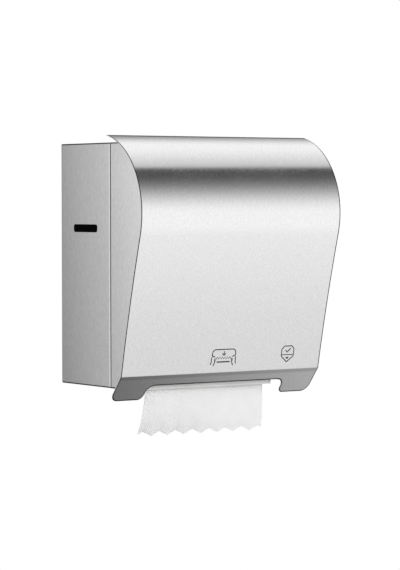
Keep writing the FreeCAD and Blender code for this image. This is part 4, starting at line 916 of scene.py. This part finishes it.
# The cover's outline band: steel painted almost black as shade along its edges.
painted_rim_steel = brushed_steel("painted_shade_rim", SKIN_GRAIN, level=0.07, roughness=0.3, contrast=0.02)
by_slot = {
    "brushed_steel": side_steel,
    "bright_steel": bright_steel("zinc_steel"),
    "light_grey_plastic": plastic("pale_plastic", *PALE, roughness=0.45, depth=0.00003),
    "dark_grey_plastic": plastic("grey_plastic", *DARK, roughness=0.42, depth=0.00003),
    "smoked_plastic": smoked("smoked_pane"),
    "rubber": rubber("grip_rubber"),
    "cardboard": cardboard("core_board"),
    "paper": embossed_paper("towel_white", 0.9),
    "towel_roll": wound_paper("wound_white"),
}

for cad_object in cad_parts.values():
    for slot in cad_object.material_slots:
        slot.material = by_slot[slot.material.name]
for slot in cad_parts["front_guide"].material_slots:
    slot.material = plastic("white_guide", *WHITE, roughness=0.5, depth=0.00002)


def dressed(obj, material, body):
    """The object with its material, riding on a body."""
    obj.data.materials.append(material)
    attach(obj, body)
    return obj


skin = dressed(cover_skin(), skin_steel, "cover")
skin.data.materials.append(painted_rim_steel)
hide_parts("cover_skin")

printed = ink("printed_ink")
dressed(pull_sign(), printed, "cover")
dressed(shield_sign(), printed, "cover")

towel, towel_length = towel_sheet()
dressed(towel, by_slot["paper"], "housing")
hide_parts("towel", "paper_web")

roll = dressed(roll_of_paper(), by_slot["towel_roll"], "roll")
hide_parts("paper_roll")


# Stage: floor and reflectors for the metal

FLOOR_DROP = 2.4
FLOOR_SIZE = 14.0
FLOOR_GREY = 0.82
SQUARE = ((-1, -1), (1, -1), (1, 1), (-1, 1))


def flat_panel(name, centre, right, up, width, height):
    """A flat rectangle of the stage, with UV from 0 to 1 along its two directions."""
    middle = Vector(centre)
    across = Vector(right).normalized() * width / 2
    along = Vector(up).normalized() * height / 2
    bm = bmesh.new()
    layer = bm.loops.layers.uv.new("UVMap")
    face = bm.faces.new([bm.verts.new(middle + across * u + along * v) for u, v in SQUARE])
    for loop, (u, v) in zip(face.loops, SQUARE):
        loop[layer].uv = ((u + 1) / 2, (v + 1) / 2)
    obj = new_object(name, mesh_of(name, bm, smooth=False))
    return obj


def seen_directly(tree):
    """1 for rays from the camera, a mirror or glass, and 0 for the rest."""
    path = tree.nodes.new("ShaderNodeLightPath").outputs
    return math_of(tree, "MAXIMUM", path["Is Camera Ray"], path["Is Glossy Ray"], path["Is Transmission Ray"])


def mixed(tree, share, first, second, target):
    """Leads one shader to the target where the share is 0, and the other where it is 1."""
    mix = tree.nodes.new("ShaderNodeMixShader")
    tree.links.new(share, mix.inputs["Fac"])
    tree.links.new(first.outputs[0], mix.inputs[1])
    tree.links.new(second.outputs[0], mix.inputs[2])
    tree.links.new(mix.outputs[0], target)


def make_floor():
    """A pale floor, which is plain white where the camera looks at it and matt for the light."""
    centre = (0, 0, FLOOR_OF_CASE - FLOOR_DROP)
    floor = flat_panel("floor", centre, (1, 0, 0), (0, 1, 0), FLOOR_SIZE, FLOOR_SIZE)
    material, tree, surface = bare_material("pale_floor")
    matt = node(tree, "ShaderNodeBsdfDiffuse", {"Color": (*grey(FLOOR_GREY), 1)})
    white = node(tree, "ShaderNodeEmission", {"Color": (1, 1, 1, 1), "Strength": 1.0})
    mixed(tree, seen_directly(tree), matt, white, surface)
    floor.data.materials.append(material)
    floor.visible_glossy = False


def reflector(name, centre, right, up, width, height, stops, foot=(0.0, 1.0, 1.0)):
    """A card that only the metal sees, shaded along its first direction by (place, level) stops.

    "foot" dims it along its second direction, from its third value at the first place to 1 at the second.
    """
    card = flat_panel(name, centre, right, up, width, height)
    material, tree, surface = bare_material(name + "_shade")
    glow = node(tree, "ShaderNodeEmission", {"Strength": 1.0})
    along, upward, _ = axes(tree, mapped(tree, source="UV"))
    ramp = tree.nodes.new("ShaderNodeValToRGB")
    elements = ramp.color_ramp.elements
    while len(elements) < len(stops):
        elements.new(0.5)
    for element, (position, level) in zip(elements, stops):
        element.position = position
        element.color = (*grey(level), 1)
    tree.links.new(along, ramp.inputs["Fac"])
    tree.links.new(ramp.outputs["Color"], glow.inputs["Color"])
    tree.links.new(ranged(tree, upward, *foot, 1.0), glow.inputs["Strength"])
    tree.links.new(glow.outputs[0], surface)
    card.data.materials.append(material)
    card.visible_camera = False
    card.visible_diffuse = False
    card.visible_shadow = False
    card.visible_transmission = False


# World: white to the camera. To the metal it is white too, but for a dark flag high in front on the right,
# which the crown mirrors, a halo round it, and darker stretches behind, below and at both far sides.
# Edges say how far along an axis a direction of length 1 reaches where the change starts and ends.

FLAG_WAY = (-0.696, 0.718)
FLAG_EDGE = (-0.555, -0.62)
FLAG_FULL = 47  # degrees above the horizon
FLAG_LEFT = (-60, -30)  # degrees round from straight ahead
FLAG_LEVEL = 0.07
HALO_EDGE = (-0.15, -0.75)
HALO_LEVEL = 0.55
WALL_EDGE = (0.41, 0.8)
WALL_LEVEL = 0.2
BELOW_EDGE = (-0.34, -0.56)
BELOW_LEVEL = 0.9
ENDS_EDGE = (0.9, 0.985)
ENDS_LEVEL = 0.55
AMBIENT = 0.5


def mirrored_level(tree):
    """The world's brightness as the metal mirrors it."""
    coordinates = tree.nodes.new("ShaderNodeTexCoord")
    x, y, z = axes(tree, coordinates.outputs["Generated"])
    turn = math_of(tree, "ARCTAN2", x, math_of(tree, "MULTIPLY", y, -1.0))
    across = math_of(tree, "ADD", math_of(tree, "MULTIPLY", x, FLAG_WAY[0]),
                     math_of(tree, "MULTIPLY", y, FLAG_WAY[1]))

    def without(share, level):
        return less(tree, share, 1.0 - level)

    left_end = faded(tree, turn, *(math.radians(angle) for angle in FLAG_LEFT))
    rise = faded(tree, z, 0.0, math.sin(math.radians(FLAG_FULL)))
    risen = math_of(tree, "MULTIPLY", rise, left_end)
    flag_share = math_of(tree, "MULTIPLY", faded(tree, across, *FLAG_EDGE), risen)
    halo_share = math_of(tree, "MULTIPLY", faded(tree, across, *HALO_EDGE), risen)
    flag = math_of(tree, "MINIMUM", without(flag_share, FLAG_LEVEL), without(halo_share, HALO_LEVEL))
    wall = without(faded(tree, y, *WALL_EDGE), WALL_LEVEL)
    below = without(faded(tree, z, *BELOW_EDGE), BELOW_LEVEL)
    ends = without(faded(tree, math_of(tree, "ABSOLUTE", x), *ENDS_EDGE), ENDS_LEVEL)
    return math_of(tree, "MULTIPLY", flag, wall, below, ends)


def make_world():
    """Sets the world: one level for diffuse light, white for the camera, and the mirrored one for metal."""
    world = bpy.data.worlds.new("studio")
    world.use_nodes = True
    bpy.context.scene.world = world
    tree = world.node_tree
    tree.nodes.clear()
    output = tree.nodes.new("ShaderNodeOutputWorld")
    path = tree.nodes.new("ShaderNodeLightPath").outputs
    level = math_of(tree, "MAXIMUM", path["Is Camera Ray"], path["Is Transmission Ray"], mirrored_level(tree))
    white = node(tree, "ShaderNodeBackground", {"Color": (1, 1, 1, 1)})
    tree.links.new(level, white.inputs["Strength"])
    ambient = node(tree, "ShaderNodeBackground", {"Color": (1, 1, 1, 1), "Strength": AMBIENT})
    mixed(tree, seen_directly(tree), ambient, white, output.inputs["Surface"])


# Lamps and camera

LAMP_AIM = Vector((0, -0.1, 0))
CAMERA_LENS = 155.5
CAMERA_SENSOR = 36
CAMERA_REACH = 100
CAMERA_PLACE = (-1.9334, -2.9038, 0.0899)
CAMERA_TURN = (87.98, 0.08, -34.58)


def lamp(name, stand, size, power):
    """A square soft lamp that points at the object."""
    data = bpy.data.lights.new(name, "AREA")
    data.shape = "SQUARE"
    data.size = size
    data.energy = power
    obj = new_object(name, data)
    obj.location = stand
    obj.rotation_euler = (LAMP_AIM - Vector(stand)).to_track_quat("-Z", "Y").to_euler()
    obj.visible_glossy = False


def make_camera():
    """The camera at the photograph's viewing angle."""
    data = bpy.data.cameras.new("camera")
    data.lens = CAMERA_LENS
    data.sensor_width = CAMERA_SENSOR
    data.clip_end = CAMERA_REACH
    camera = new_object("camera", data)
    camera.location = CAMERA_PLACE
    camera.rotation_euler = [math.radians(angle) for angle in CAMERA_TURN]
    bpy.context.scene.camera = camera


make_floor()
make_world()
reflector(
    "side_card", centre=(-0.35, 0.15, 0.0), right=(-1, 0, 0), up=(0, 0, 1), width=0.5, height=0.9,
    stops=[(0.0, 0.12), (0.29, 0.33), (0.37, 0.46), (0.48, 0.58), (0.62, 0.82), (1.0, 0.95)],
    foot=(0.3, 0.66, 0.8))
reflector(
    "chin_card", centre=(0.3, 0.0, -0.45), right=(1, 0, 0), up=(0, 1, 0), width=1.0, height=0.8,
    stops=[(0.0, 0.12), (0.24, 0.18), (0.56, 0.42), (0.8, 0.6), (1.0, 0.7)])
reflector(
    "front_card", centre=(0.4, -0.6, -0.25), right=(0, 0, 1), up=(1, 0, 0), width=0.7, height=1.0,
    stops=[(0.0, 0.66), (0.39, 0.78), (0.46, 0.85), (0.5, 0.9), (0.72, 1.0), (1.0, 1.0)])
lamp("key", stand=(0.8, -2.2, 0.35), size=1.2, power=33)
lamp("fill", stand=(-1.5, -1.8, 0.6), size=1.4, power=10)
make_camera()

scene = bpy.context.scene
scene.view_settings.view_transform = "Standard"
